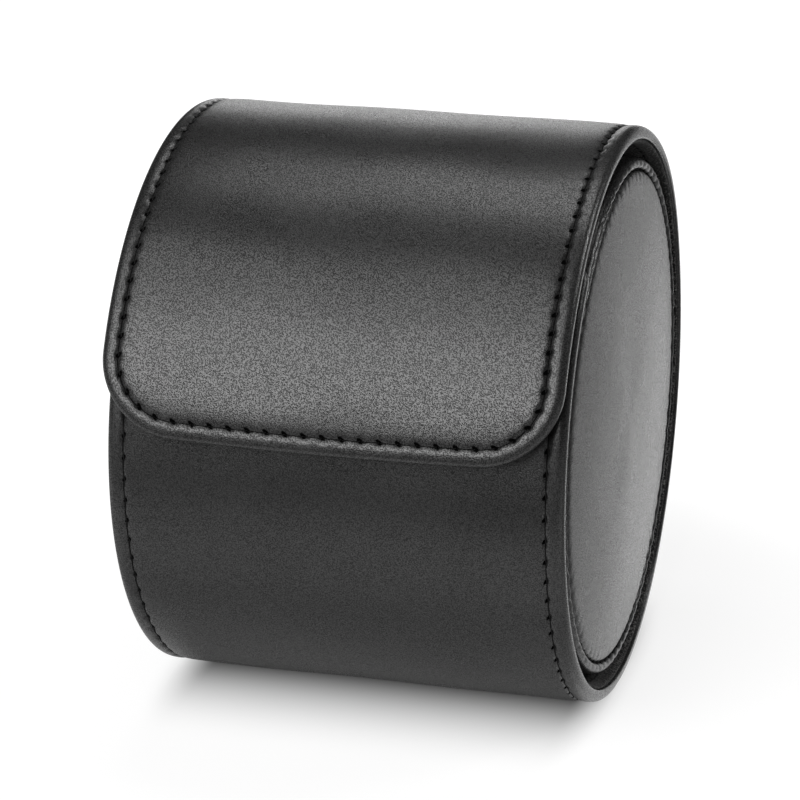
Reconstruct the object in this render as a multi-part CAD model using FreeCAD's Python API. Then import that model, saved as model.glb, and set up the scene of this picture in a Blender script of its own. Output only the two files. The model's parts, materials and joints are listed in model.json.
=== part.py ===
import FreeCAD, Part
import math
import os

# Watch roll: a lying leather tube with a flap over its front, and a sliding insert that carries the pillow.
# X runs along the tube, the front faces -Y, and the base stands on z = 0 below the tube's axis.
# Angles round the tube start at the front and rise over the top to the back.

# Overall form
roll_length = 71.5
shell_radius = 45.0
flap_arc_growth = 2.5
base_flat_depth = 0.8

# Layers of the wrap, from the outside in
wrap_leather_thickness = 1.2
wrap_board_thickness = 0.8
wrap_lining_thickness = 1.2
turned_edge_width = 1.2
lip_rounding = 1.0
lining_inset = 1.4

# Ends of the shell and the flap round the tube, in degrees
flap_edge_angle = 10.0
front_wall_angle = 50.0
flap_root_angle = 144.0
shell_root_angle = 156.0
back_angle = 180.0
bottom_angle = 270.0
full_turn = 360.0

# Rounded free corners of the sheets
flap_corner_radius = 12.0
front_wall_corner_radius = 4.0

# Hidden magnets in the linings
magnet_radius = 4.5
magnet_thickness = 0.6
magnet_end_distance = 15.0
magnet_angle = 27.0
magnet_clearance = 0.05

# End discs of the insert
disc_gap = 0.9
disc_raise = 0.7
disc_recess = 0.2
disc_crown = 0.6
disc_leather_thickness = 1.0
disc_pad_thickness = 2.0
disc_board_thickness = 1.6
disc_lining_thickness = 0.8
disc_seam_margin = 2.4
disc_bead_rise = 0.3
disc_rim_drop = 1.1

# Cradle between the discs
sliding_clearance = 0.3
cradle_board_thickness = 2.0
cradle_lining_thickness = 1.0
cradle_half_angle = 48.0

# Pillow in the cradle, with the room that a watch's case needs above it and its strap beside it
watch_room = 31.7
strap_room = 12.4
pillow_end_gap = 1.8
pillow_seat_clearance = 0.3
pillow_cover_thickness = 1.2
pillow_side_share = 0.8
pillow_place_shares = (-1.0, -0.9, -0.6, -0.2, 0.2, 0.6, 0.9, 1.0)
pillow_size_shares = (0.84, 0.93, 0.985, 1.0, 1.0, 0.985, 0.93, 0.84)

# One overrun serves all cuts
overrun = 2.0

# Values worked out from the sizes above
half_length = roll_length / 2
axis_height = shell_radius - base_flat_depth
flap_radius = shell_radius + flap_arc_growth
lip_depth = wrap_leather_thickness + wrap_board_thickness
wall_depth = lip_depth + wrap_lining_thickness
shell_bore_radius = shell_radius - wall_depth
flap_bore_radius = flap_radius - wall_depth
disc_radius = shell_bore_radius - disc_gap
disc_thickness = (disc_leather_thickness + disc_pad_thickness
                  + disc_board_thickness + disc_lining_thickness)
disc_face = half_length - disc_recess
disc_back = disc_face - disc_thickness
disc_height = axis_height + disc_raise
cradle_radius = shell_bore_radius - sliding_clearance
cradle_bed_radius = cradle_radius - cradle_board_thickness - cradle_lining_thickness
pillow_half_length = disc_back - pillow_end_gap
pillow_half_width = shell_bore_radius - strap_room
pillow_foot = pillow_seat_clearance - cradle_bed_radius
pillow_half_height = (flap_bore_radius - watch_room - pillow_foot) / 2
pillow_height = axis_height + pillow_foot + pillow_half_height

shell_arc_centre = FreeCAD.Vector(0, 0, axis_height)
flap_arc_centre = FreeCAD.Vector(0, -flap_arc_growth, axis_height)
disc_centre = FreeCAD.Vector(0, 0, disc_height)
turning_axis = FreeCAD.Vector(-1, 0, 0)
mirror_normal = FreeCAD.Vector(1, 0, 0)


def outward(angle):
    """Unit direction away from the tube's axis at an angle round the tube."""
    turn = math.radians(angle)
    return FreeCAD.Vector(0, -math.cos(turn), math.sin(turn))


def along_skin(angle):
    """Unit direction round the tube, the way the angle grows."""
    turn = math.radians(angle)
    return FreeCAD.Vector(0, math.sin(turn), math.cos(turn))


def profile_point(centre, along, radius):
    """Point of a turned profile, drawn on the front side of the centre line."""
    return centre + FreeCAD.Vector(along, -radius, 0)


def arc_through(first, middle, last):
    """Edge of a circular arc through three points."""
    return Part.Arc(first, middle, last).toShape()


def line_between(first, last):
    """Straight edge between two points."""
    return Part.LineSegment(first, last).toShape()


def wall_profile(centre, outer, inner, half_width, rounding):
    """Face of a wall's section along the tube, with rounded outer corners where rounding is above zero."""
    inner_left = profile_point(centre, -half_width, inner)
    inner_right = profile_point(centre, half_width, inner)
    if rounding == 0:
        outer_right = profile_point(centre, half_width, outer)
        outer_left = profile_point(centre, -half_width, outer)
        return Part.Face(Part.makePolygon([inner_left, inner_right, outer_right, outer_left, inner_left]))
    bend = rounding * (1 - math.sqrt(0.5))
    right_start = profile_point(centre, half_width, outer - rounding)
    right_middle = profile_point(centre, half_width - bend, outer - bend)
    right_end = profile_point(centre, half_width - rounding, outer)
    left_start = profile_point(centre, rounding - half_width, outer)
    left_middle = profile_point(centre, bend - half_width, outer - bend)
    left_end = profile_point(centre, -half_width, outer - rounding)
    edges = [line_between(inner_left, inner_right),
             line_between(inner_right, right_start),
             arc_through(right_start, right_middle, right_end),
             line_between(right_end, left_start),
             arc_through(left_start, left_middle, left_end),
             line_between(left_end, inner_left)]
    return Part.Face(Part.Wire(edges))


def arc_band(centre, outer, inner, half_width, start, end, rounding=0):
    """Curved wall from one angle to another round a centre line."""
    face = wall_profile(centre, outer, inner, half_width, rounding)
    face.rotate(centre, turning_axis, start)
    return face.revolve(centre, turning_axis, end - start)


def corner_waste(centre, outer, edge_angle, sense, corner_radius, inset):
    """Pair of pieces that round the free corners of a sheet; sense is +1 or -1 towards the free edge."""
    rounding = corner_radius - inset
    corner_angle = edge_angle - sense * math.degrees(corner_radius / outer)
    towards_edge = along_skin(corner_angle) * sense
    away = outward(corner_angle)
    reach = rounding + overrun
    depth = wall_depth + corner_radius
    pieces = []
    for side in (-1, 1):
        sideways = FreeCAD.Vector(side, 0, 0)
        pivot = centre + away * (outer + overrun - depth) + sideways * (half_length - corner_radius)
        side_end = pivot + sideways * rounding
        edge_end = pivot + towards_edge * rounding
        bulge = pivot + (sideways + towards_edge) * (rounding * math.sqrt(0.5))
        far_edge = pivot + towards_edge * reach
        far_corner = far_edge + sideways * reach
        far_side = pivot + sideways * reach
        outline = Part.Wire([arc_through(side_end, bulge, edge_end),
                             line_between(edge_end, far_edge),
                             line_between(far_edge, far_corner),
                             line_between(far_corner, far_side),
                             line_between(far_side, side_end)])
        pieces.append(Part.Face(outline).extrude(away * (depth + overrun)))
    return Part.makeCompound(pieces)


def shell_sheet(depth_out, depth_in, inset, rounding=0):
    """One layer of the shell between two depths below its skin, set in from its free edges."""
    half_width = half_length - inset
    edge = full_turn + front_wall_angle - math.degrees(inset / shell_radius)
    round_part = arc_band(shell_arc_centre, shell_radius - depth_out, shell_radius - depth_in,
                          half_width, back_angle, edge, rounding)
    root_part = arc_band(flap_arc_centre, flap_radius - depth_out, flap_radius - depth_in,
                         half_width, shell_root_angle, back_angle, rounding)
    waste = corner_waste(shell_arc_centre, shell_radius, full_turn + front_wall_angle, 1,
                         front_wall_corner_radius, inset)
    return round_part.cut(waste).fuse(root_part).removeSplitter()


def flap_sheet(depth_out, depth_in, inset, rounding=0):
    """One layer of the flap between two depths below its skin, set in from its free edges."""
    half_width = half_length - inset
    edge = flap_edge_angle + math.degrees(inset / flap_radius)
    band = arc_band(flap_arc_centre, flap_radius - depth_out, flap_radius - depth_in,
                    half_width, edge, flap_root_angle, rounding)
    waste = corner_waste(flap_arc_centre, flap_radius, flap_edge_angle, -1, flap_corner_radius, inset)
    return band.cut(waste)


def hinge_strip(depth_out, depth_in, inset, rounding=0):
    """One layer of the bend strip that joins the shell and the flap."""
    return arc_band(flap_arc_centre, flap_radius - depth_out, flap_radius - depth_in,
                    half_length - inset, flap_root_angle, shell_root_angle, rounding)


def turned_leather(sheet):
    """Outer leather of a sheet, turned in round the place of its board."""
    whole = sheet(0, lip_depth, 0, lip_rounding)
    hollow = sheet(wrap_leather_thickness, lip_depth + overrun, turned_edge_width)
    return whole.cut(hollow)


def wrap_board(sheet):
    """Stiffening board that fills the turned leather."""
    return sheet(wrap_leather_thickness, lip_depth, turned_edge_width)


def wrap_lining(sheet):
    """Suede lining on the inner side of a sheet."""
    return sheet(lip_depth, wall_depth, lining_inset)


def magnet_and_pocket(centre, lining_radius, along):
    """Flat round magnet behind a lining, and the pocket that it sits in."""
    away = outward(magnet_angle)
    corner_radius = lining_radius - magnet_clearance
    outer_face = math.sqrt(corner_radius ** 2 - magnet_radius ** 2)
    seat = centre + FreeCAD.Vector(along, 0, 0) + away * (outer_face - magnet_thickness)
    magnet = Part.makeCylinder(magnet_radius, magnet_thickness, seat, away)
    pocket = Part.makeCylinder(magnet_radius + magnet_clearance, magnet_thickness + overrun, seat, away)
    return magnet, pocket


def disc_leather():
    """Domed leather cup of the right disc, with a sewn channel and a bead outside it."""
    seam_radius = disc_radius - disc_seam_margin
    seam_face = disc_face - disc_crown
    rim_face = seam_face - disc_rim_drop
    inner_radius = disc_radius - disc_leather_thickness
    crown_end = seam_face - disc_leather_thickness
    peak = profile_point(disc_centre, disc_face, 0)
    crown = profile_point(disc_centre, crown_level(disc_face, seam_radius), seam_radius / 2)
    seam = profile_point(disc_centre, seam_face, seam_radius)
    bead = profile_point(disc_centre, seam_face + disc_bead_rise, seam_radius + disc_seam_margin / 2)
    rim = profile_point(disc_centre, rim_face, disc_radius)
    rim_back = profile_point(disc_centre, disc_back, disc_radius)
    cup_back = profile_point(disc_centre, disc_back, inner_radius)
    cup_corner = profile_point(disc_centre, crown_end, inner_radius)
    cup_crown = profile_point(disc_centre, crown_level(disc_face - disc_leather_thickness, inner_radius),
                              inner_radius / 2)
    cup_peak = profile_point(disc_centre, disc_face - disc_leather_thickness, 0)
    return turned_disc([arc_through(peak, crown, seam),
                        arc_through(seam, bead, rim),
                        line_between(rim, rim_back),
                        line_between(rim_back, cup_back),
                        line_between(cup_back, cup_corner),
                        arc_through(cup_corner, cup_crown, cup_peak),
                        line_between(cup_peak, peak)])


def crown_level(peak, rim_radius):
    """Place along the tube, half way out to the rim, of a dome that drops by the crown's height."""
    dome_radius = (rim_radius ** 2 + disc_crown ** 2) / (2 * disc_crown)
    return peak - dome_radius + math.sqrt(dome_radius ** 2 - (rim_radius / 2) ** 2)


def disc_pad():
    """Foam pad under the leather of the right disc, domed like it."""
    inner_radius = disc_radius - disc_leather_thickness
    top = disc_face - disc_leather_thickness
    bottom = top - disc_pad_thickness
    foot = profile_point(disc_centre, bottom, 0)
    foot_rim = profile_point(disc_centre, bottom, inner_radius)
    rim = profile_point(disc_centre, top - disc_crown, inner_radius)
    crown = profile_point(disc_centre, crown_level(top, inner_radius), inner_radius / 2)
    peak = profile_point(disc_centre, top, 0)
    return turned_disc([line_between(foot, foot_rim),
                        line_between(foot_rim, rim),
                        arc_through(rim, crown, peak),
                        line_between(peak, foot)])


def turned_disc(edges):
    """Round solid from a closed profile beside the disc's centre line."""
    return Part.Face(Part.Wire(edges)).revolve(disc_centre, turning_axis, full_turn)


def disc_plate(back, thickness):
    """Flat round layer of the right disc, inside the leather's rim."""
    foot = disc_centre + FreeCAD.Vector(back, 0, 0)
    return Part.makeCylinder(disc_radius - disc_leather_thickness, thickness, foot, mirror_normal)


def cradle_layer(outer, thickness):
    """Curved layer of the cradle between the two discs."""
    return arc_band(shell_arc_centre, outer, outer - thickness, disc_back,
                    bottom_angle - cradle_half_angle, bottom_angle + cradle_half_angle)


def oval_wire(along, half_width, half_height):
    """Upright oval of four tangent arcs, across the tube at one place along it."""
    side_radius = half_height * pillow_side_share
    side_centre = half_width - side_radius
    cap_radius = (side_centre ** 2 + half_height ** 2 - side_radius ** 2) / (2 * (half_height - side_radius))
    cap_centre = cap_radius - half_height
    meet = math.atan2(cap_centre, side_centre)
    meet_y = side_centre + side_radius * math.cos(meet)
    meet_z = side_radius * math.sin(meet)

    def place(across, up):
        return FreeCAD.Vector(along, across, pillow_height + up)

    return Part.Wire([arc_through(place(meet_y, -meet_z), place(half_width, 0), place(meet_y, meet_z)),
                      arc_through(place(meet_y, meet_z), place(0, half_height), place(-meet_y, meet_z)),
                      arc_through(place(-meet_y, meet_z), place(-half_width, 0), place(-meet_y, -meet_z)),
                      arc_through(place(-meet_y, -meet_z), place(0, -half_height), place(meet_y, -meet_z))])


def pillow_form(depth):
    """Crowned pillow with drawn-in ends, as deep below the cover's skin as stated."""
    wires = []
    for place_share, size_share in zip(pillow_place_shares, pillow_size_shares):
        half_width = pillow_half_width * size_share - depth
        half_height = pillow_half_height * size_share - depth
        wires.append(oval_wire(pillow_half_length * place_share, half_width, half_height))
    return Part.makeLoft(wires, True, False)


def slab(start, end):
    """Box across the whole section between two places along the tube."""
    side = 2 * flap_radius
    corner = FreeCAD.Vector(start, -flap_radius, axis_height - flap_radius)
    return Part.makeBox(end - start, side, side, corner)


parts = {}

# Shell: leather, board and lining of the fixed part of the wrap
below_base = Part.makeBox(2 * roll_length, 2 * shell_radius, base_flat_depth + overrun,
                          FreeCAD.Vector(-roll_length, -shell_radius, -base_flat_depth - overrun))
parts["shell_leather"] = turned_leather(shell_sheet).cut(below_base)
parts["shell_board"] = wrap_board(shell_sheet)
shell_lining = wrap_lining(shell_sheet)

# Flap: the same layers over the top and the front
parts["flap_leather"] = turned_leather(flap_sheet)
parts["flap_board"] = wrap_board(flap_sheet)
flap_lining = wrap_lining(flap_sheet)

# Bend strip between them, with no board, so its lining fills the turned leather
parts["hinge_leather"] = turned_leather(hinge_strip)
parts["hinge_lining"] = hinge_strip(wrap_leather_thickness, wall_depth, lining_inset)

# Magnets in pairs, in pockets of the two linings
for side_name, side in (("left", -1), ("right", 1)):
    along = side * (half_length - magnet_end_distance)
    magnet, pocket = magnet_and_pocket(shell_arc_centre, shell_radius - lip_depth, along)
    parts["shell_magnet_" + side_name] = magnet
    shell_lining = shell_lining.cut(pocket)
    magnet, pocket = magnet_and_pocket(flap_arc_centre, flap_radius - lip_depth, along)
    parts["flap_magnet_" + side_name] = magnet
    flap_lining = flap_lining.cut(pocket)
parts["shell_lining"] = shell_lining
parts["flap_lining"] = flap_lining

# End discs: the right one is built, the left one is its mirror image
right_disc = {"leather": disc_leather(),
              "pad": disc_pad(),
              "board": disc_plate(disc_back + disc_lining_thickness, disc_board_thickness),
              "lining": disc_plate(disc_back, disc_lining_thickness)}
for layer, shape in right_disc.items():
    parts["right_disc_" + layer] = shape
    parts["left_disc_" + layer] = shape.mirror(FreeCAD.Vector(), mirror_normal)

# Cradle that joins the discs
parts["cradle_board"] = cradle_layer(cradle_radius, cradle_board_thickness)
parts["cradle_lining"] = cradle_layer(cradle_radius - cradle_board_thickness, cradle_lining_thickness)

# Pillow: cover, two end caps and the core between them
filling = pillow_form(pillow_cover_thickness)
cap_start = pillow_half_length - pillow_cover_thickness
parts["pillow_cover"] = pillow_form(0).cut(filling)
parts["pillow_core"] = filling.common(slab(-cap_start, cap_start))
parts["pillow_right_cap"] = filling.common(slab(cap_start, pillow_half_length))
parts["pillow_left_cap"] = filling.common(slab(-pillow_half_length, -cap_start))

os.makedirs("parts", exist_ok=True)
for name, shape in parts.items():
    solid = shape.Solids[0] if len(shape.Solids) == 1 else shape
    solid.exportStep("parts/" + name + ".step")
    print(name, len(shape.Solids), shape.isValid(), round(shape.Volume, 1))
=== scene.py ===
"""Looks of the watch roll: a leather wrap with its flap, suede lining, padded end discs and a pillow."""

import json
import logging
import math
from dataclasses import dataclass, field
from enum import Enum
from typing import Any, Mapping, Sequence

import bmesh
import bpy
import numpy as np
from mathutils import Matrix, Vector


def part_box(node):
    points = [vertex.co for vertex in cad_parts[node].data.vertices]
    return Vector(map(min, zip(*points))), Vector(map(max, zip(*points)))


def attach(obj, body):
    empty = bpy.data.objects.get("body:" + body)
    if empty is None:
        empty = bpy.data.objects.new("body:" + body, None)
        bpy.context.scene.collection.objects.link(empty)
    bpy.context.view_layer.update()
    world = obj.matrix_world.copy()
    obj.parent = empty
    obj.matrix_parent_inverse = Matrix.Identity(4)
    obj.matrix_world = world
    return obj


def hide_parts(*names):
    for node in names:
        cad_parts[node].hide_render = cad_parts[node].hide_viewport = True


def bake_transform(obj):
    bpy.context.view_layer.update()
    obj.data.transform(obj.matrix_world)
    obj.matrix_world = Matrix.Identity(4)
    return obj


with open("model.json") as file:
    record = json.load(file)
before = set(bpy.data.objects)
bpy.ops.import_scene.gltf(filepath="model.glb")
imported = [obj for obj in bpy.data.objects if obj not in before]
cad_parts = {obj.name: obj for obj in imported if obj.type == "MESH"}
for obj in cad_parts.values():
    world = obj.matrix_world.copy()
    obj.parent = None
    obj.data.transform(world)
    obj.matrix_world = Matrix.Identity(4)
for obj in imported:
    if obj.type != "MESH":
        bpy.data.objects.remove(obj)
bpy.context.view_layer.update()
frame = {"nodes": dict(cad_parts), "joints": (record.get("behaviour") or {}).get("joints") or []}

log = logging.getLogger("watch_roll")
MM = 0.001
PICTURE_SIDE = 800
MERGE_DISTANCE = 1e-6
CREASE_ANGLE = math.radians(48)
QUARTER_TURN = math.pi / 2
FULL_TURN = 2 * math.pi
# Black that paints shade into the needle holes and the sewn lines
PAINTED_SHADE_BLACK = 0.001
NOISE_MIDDLE = 0.5
HOLE_SHARPNESS = 3
# Distance from a sewn line that is stored where nothing is sewn
UNSEWN = -9.0
Socket = bpy.types.NodeSocket


class Body(Enum):
    """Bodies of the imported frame."""

    SHELL = "shell"
    FLAP = "flap"
    INSERT = "insert"


class Slot(Enum):
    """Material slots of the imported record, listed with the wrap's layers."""

    LEATHER = "black_leather"
    SUEDE = "dark_suede"


class End(Enum):
    """Ends of the roll along its length."""

    LEFT = -1
    RIGHT = 1


class Face(Enum):
    """Sides of a sheet of the wrap."""

    OUTER = 1
    INNER = -1


def ease(value: np.ndarray, low: float, high: float) -> np.ndarray:
    """Rise smoothly from 0 at one value to 1 at another.

    Args:
        value: Values to ease.
        low: Value that gives 0.
        high: Value that gives 1.

    Returns:
        Eased values from 0 to 1.
    """
    share = np.clip((value - low) / (high - low), 0.0, 1.0)
    return share * share * (3.0 - 2.0 * share)


# Shader maths


class NodeTree:
    """Node tree whose nodes all come from one method."""

    tree: bpy.types.NodeTree

    def node(self, kind: str, settings: dict[str, Any], sockets: dict[Any, Any]) -> bpy.types.Node:
        """Add any node.

        Args:
            kind: Type name of the node.
            settings: Properties that are set first.
            sockets: Values or links by the input's name or number.

        Returns:
            The new node.
        """
        made = self.tree.nodes.new(kind)
        for name, value in settings.items():
            setattr(made, name, value)
        for key, value in sockets.items():
            if isinstance(value, Signal):
                value = value.socket
            if isinstance(value, Socket):
                self.tree.links.new(value, made.inputs[key])
            else:
                made.inputs[key].default_value = value
        return made


class Signal:
    """Value socket whose operators add Math nodes to its tree."""

    def __init__(self, owner: NodeTree, socket: Socket) -> None:
        """Hold a socket of one tree."""
        self.owner = owner
        self.socket = socket

    def maths(self, operation: str, other: Any = 0.0, swapped: bool = False) -> "Signal":
        """Add one Math node.

        Args:
            operation: Name of the Math operation.
            other: Signal or number for the other socket.
            swapped: Whether the other value comes first.

        Returns:
            Signal of the result.
        """
        first, second = (other, self) if swapped else (self, other)
        node = self.owner.node("ShaderNodeMath", {"operation": operation}, {0: first, 1: second})
        return Signal(self.owner, node.outputs[0])

    def __add__(self, other: Any) -> "Signal":
        """Sum of two signals."""
        return self.maths("ADD", other)

    def __sub__(self, other: Any) -> "Signal":
        """This signal less another."""
        return self.maths("SUBTRACT", other)

    def __rsub__(self, other: Any) -> "Signal":
        """Another signal or number less this one."""
        return self.maths("SUBTRACT", other, swapped=True)

    def __mul__(self, other: Any) -> "Signal":
        """Product of two signals."""
        return self.maths("MULTIPLY", other)

    __radd__ = __add__
    __rmul__ = __mul__

    def ramp(self, low: float, high: float) -> "Signal":
        """Smooth step of the signal from 0 to 1.

        Args:
            low: Value that gives 0.
            high: Value that gives 1.

        Returns:
            Signal of the step.
        """
        node = self.owner.node("ShaderNodeMapRange", {"interpolation_type": "SMOOTHSTEP"},
                               {"Value": self, "From Min": low, "From Max": high})
        return Signal(self.owner, node.outputs["Result"])


class Shader(NodeTree):
    """Node tree of one material."""

    def __init__(self, name: str) -> None:
        """Start an empty material.

        Args:
            name: Name of the material.
        """
        self.material = bpy.data.materials.new(name)
        self.material.use_nodes = True
        self.tree = self.material.node_tree
        self.tree.nodes.clear()

    def place(self, scale: Sequence[float] = (1.0, 1.0, 1.0),
              turn: Sequence[float] = (0.0, 0.0, 0.0)) -> Socket:
        """Object coordinates in millimetres.

        Args:
            scale: Stretch of the pattern along each axis.
            turn: Rotation of the pattern in radians.

        Returns:
            Vector socket.
        """
        where = self.node("ShaderNodeTexCoord", {}, {}).outputs["Object"]
        sizes = tuple(share / MM for share in scale)
        mapping = self.node("ShaderNodeMapping", {},
                            {"Vector": where, "Rotation": tuple(turn), "Scale": sizes})
        return mapping.outputs["Vector"]

    def squeezed(self, where: Socket, way: Sequence[float], share: float) -> Socket:
        """Coordinates squeezed along one direction, so that a pattern on them is drawn out that way.

        Args:
            where: Vector socket.
            way: Direction of unit length.
            share: Share of the length that is kept.

        Returns:
            Vector socket.
        """
        length = self.node("ShaderNodeVectorMath", {"operation": "DOT_PRODUCT"}, {0: where, 1: tuple(way)})
        less = tuple((share - 1) * part for part in way)
        back = self.node("ShaderNodeVectorMath", {"operation": "SCALE"},
                         {0: less, "Scale": length.outputs["Value"]})
        moved = self.node("ShaderNodeVectorMath", {"operation": "ADD"}, {0: where, 1: back.outputs["Vector"]})
        return moved.outputs["Vector"]

    def noise(self, where: Socket, size: float, detail: float = 3.0, rough: float = 0.5) -> Signal:
        """Noise with blotches of a size in millimetres.

        Args:
            where: Vector socket in millimetres.
            size: Size of a blotch.
            detail: Octaves of finer noise.
            rough: Share of each finer octave.

        Returns:
            Signal around the noise's middle.
        """
        made = self.node("ShaderNodeTexNoise", {},
                         {"Vector": where, "Scale": 1 / size, "Detail": detail, "Roughness": rough})
        return Signal(self, made.outputs["Fac"])

    def attribute(self, name: str) -> Signal:
        """Value that the mesh stores under a name."""
        return Signal(self, self.node("ShaderNodeAttribute", {"attribute_name": name}, {}).outputs["Fac"])

    def mix(self, share: Any, first: Any, second: Any) -> Socket:
        """Mix two colours.

        Args:
            share: Signal or number, 0 for the first colour.
            first: Colour or colour socket.
            second: Colour or colour socket.

        Returns:
            Colour socket.
        """
        made = self.node("ShaderNodeMix", {"data_type": "RGBA"}, {0: share, 6: first, 7: second})
        return made.outputs[2]

    def bump(self, height: Signal, depth: float) -> Socket:
        """Bump from a height signal.

        Args:
            height: Signal from 0 to 1.
            depth: Depth of the relief in millimetres.

        Returns:
            Normal socket.
        """
        made = self.node("ShaderNodeBump", {}, {"Height": height, "Distance": depth * MM, "Strength": 1.0})
        return made.outputs["Normal"]

    def finish(self, settings: dict[str, Any], painted_shade: Signal | None = None) -> bpy.types.Material:
        """Close the tree with a Principled shader.

        Args:
            settings: Values or links of the shader's sockets.
            painted_shade: Share of painted shade, deep places that stay black in any light.

        Returns:
            The finished material.
        """
        surface = self.node("ShaderNodeBsdfPrincipled", {}, settings).outputs["BSDF"]
        if painted_shade is not None:
            # Painted shade: a black diffuse that stays black in any light
            black = self.node("ShaderNodeBsdfDiffuse", {}, {"Color": grey(PAINTED_SHADE_BLACK)}).outputs["BSDF"]
            surface = self.node("ShaderNodeMixShader", {}, {0: painted_shade, 1: surface, 2: black}).outputs["Shader"]
        self.node("ShaderNodeOutputMaterial", {}, {"Surface": surface})
        return self.material


def grey(level: float, warmth: float = 0.0) -> tuple[float, float, float, float]:
    """Grey colour of a linear level, warmer where warmth is above zero."""
    return (level * (1 + warmth), level, level * (1 - warmth), 1.0)


# Finishes


@dataclass(frozen=True)
class NeedleHoles:
    """Round needle holes in a sunk line, drawn from the values that a sewn mesh stores."""

    pitch: float = 3.2
    hole: float = 0.46
    hole_edge_shares: tuple[float, float] = (0.7, 1.15)
    line: float = 0.16
    aside: float = 0.12
    slant: float = 0.6

    def masks(self, shader: Shader) -> tuple[Signal, Signal]:
        """Masks of the holes and of the line between them.

        Args:
            shader: Shader that takes the nodes.

        Returns:
            Signals that are 1 in a hole and 1 on the sewn line.
        """
        ahead, beside = shader.attribute("stitch_x"), shader.attribute("beside")
        turn = shader.attribute("stitch_y").maths("ARCTAN2", ahead)
        along = turn * (self.pitch / FULL_TURN) + beside * self.slant
        across = beside - self.aside
        reach = (along * along + across * across).maths("SQRT")
        inside, outside = (self.hole * share for share in self.hole_edge_shares)
        line = 1 - beside.maths("ABSOLUTE").ramp(0.0, self.line)
        return 1 - reach.ramp(inside, outside), line


@dataclass(frozen=True)
class SmoothLeather:
    """Black leather with a fine pebbled grain, needle holes and sewn lines painted black as shade, and
    glossier edges painted lighter as a highlight.
    """

    name: str
    dark: float = 0.010
    light: float = 0.022
    gloss: float = 0.275
    specular: float = 0.25
    grain: float = 0.15
    grain_depth: float = 0.05
    grain_edge: float = 0.14
    grain_way: tuple[float, float, float] = (0.707, -0.5, -0.5)
    grain_stretch: float = 0.62
    grain_share: float = 0.5
    patch: float = 14.0
    patch_span: tuple[float, float] = (0.3, 0.7)
    patch_gloss: float = 0.1
    edge_highlight: float = 0.5
    edge_highlight_share: float = 1.5
    burnish_gloss: float = 0.04
    holes: NeedleHoles = NeedleHoles()
    hole_depth: float = 0.2
    hole_roughness: float = 0.7
    line_depth: float = 0.05
    line_roughness: float = 0.4
    line_share: float = 0.8
    painted_shade_share: float = 0.85

    def make(self) -> bpy.types.Material:
        """Build the material from its grain, dull patches and sewn places.

        Returns:
            The finished material.
        """
        shader = Shader(self.name)
        where = shader.place()
        drawn_out = shader.squeezed(where, self.grain_way, self.grain_stretch)
        grain = shader.noise(drawn_out, self.grain, detail=0.0)
        pebbles = grain.ramp(NOISE_MIDDLE - self.grain_edge, NOISE_MIDDLE + self.grain_edge)
        patches = shader.noise(where, self.patch)
        hole, line = self.holes.masks(shader)
        # Painted shade: the needle holes and the sewn line turn black, and a share of them stays black in any
        # light
        sewn = (hole + line * self.line_share).ramp(0.0, 1.0)
        edge = shader.attribute("edge")
        tone = patches.ramp(*self.patch_span) * (1 - self.grain_share) + pebbles * self.grain_share
        body = shader.mix(tone, grey(self.dark), grey(self.light))
        # Painted highlight: the edges are painted lighter
        edge_highlighted = shader.mix(edge * self.edge_highlight, body, grey(self.light * self.edge_highlight_share))
        colour = shader.mix(sewn, edge_highlighted, grey(PAINTED_SHADE_BLACK))
        rough = self.gloss + (patches - NOISE_MIDDLE) * self.patch_gloss - edge * self.burnish_gloss
        rough = rough + hole * self.hole_roughness + line * self.line_roughness
        relief = grain * self.grain_depth - hole * self.hole_depth - line * self.line_depth
        return shader.finish({"Base Color": colour, "Roughness": rough, "Specular IOR Level": self.specular,
                              "Coat Weight": pebbles * (1 - sewn), "Coat Roughness": self.gloss,
                              "Normal": shader.bump(relief, 1.0)}, sewn * self.painted_shade_share)


FLAP_LEATHER = SmoothLeather("black_leather_flap", grain_edge=0.08, holes=NeedleHoles(line=0.11))
SHELL_LEATHER = SmoothLeather("black_leather_shell", grain_edge=0.2, holes=NeedleHoles(hole=0.36, line=0.15))
DISC_LEATHER = SmoothLeather("black_leather_disc",
                             holes=NeedleHoles(hole=0.42, line=0.5, aside=0.0, slant=0.0))


@dataclass(frozen=True)
class Suede:
    """Black microfibre suede with a short brushed nap."""

    name: str = "black_suede"
    dark: float = 0.006
    light: float = 0.21
    warmth: float = 0.02
    nap: float = 0.36
    nap_detail: float = 1.0
    nap_rough: float = 0.6
    nap_span: tuple[float, float] = (0.47, 0.67)
    nap_depth: float = 0.09
    brushed: float = 6.0
    brushed_detail: float = 2.0
    brushed_span: tuple[float, float] = (0.35, 0.65)
    brushed_share: float = 0.3
    gloss: float = 0.12
    specular: float = 0.15
    sheen: float = 0.3
    sheen_roughness: float = 0.6
    sheen_level: float = 0.6
    holes: NeedleHoles = NeedleHoles()
    hole_shade_share: float = 0.8

    def make(self) -> bpy.types.Material:
        """Build the material from its nap, brushed patches and needle holes painted black as shade.

        Returns:
            The finished material.
        """
        shader = Shader(self.name)
        where = shader.place()
        fibres = shader.noise(where, self.nap, self.nap_detail, self.nap_rough)
        patches = shader.noise(where, self.brushed, self.brushed_detail).ramp(*self.brushed_span)
        hole, _ = self.holes.masks(shader)
        tone = fibres.ramp(*self.nap_span) * (1 - self.brushed_share + patches * self.brushed_share)
        nap = shader.mix(tone, grey(self.dark), grey(self.light, self.warmth))
        # Painted shade: the needle holes turn black
        colour = shader.mix(hole * self.hole_shade_share, nap, grey(PAINTED_SHADE_BLACK))
        return shader.finish({"Base Color": colour, "Roughness": 1 - tone * self.gloss,
                              "Specular IOR Level": self.specular, "Sheen Weight": self.sheen,
                              "Sheen Roughness": self.sheen_roughness, "Sheen Tint": grey(self.sheen_level),
                              "Normal": shader.bump(fibres, self.nap_depth)})


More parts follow.
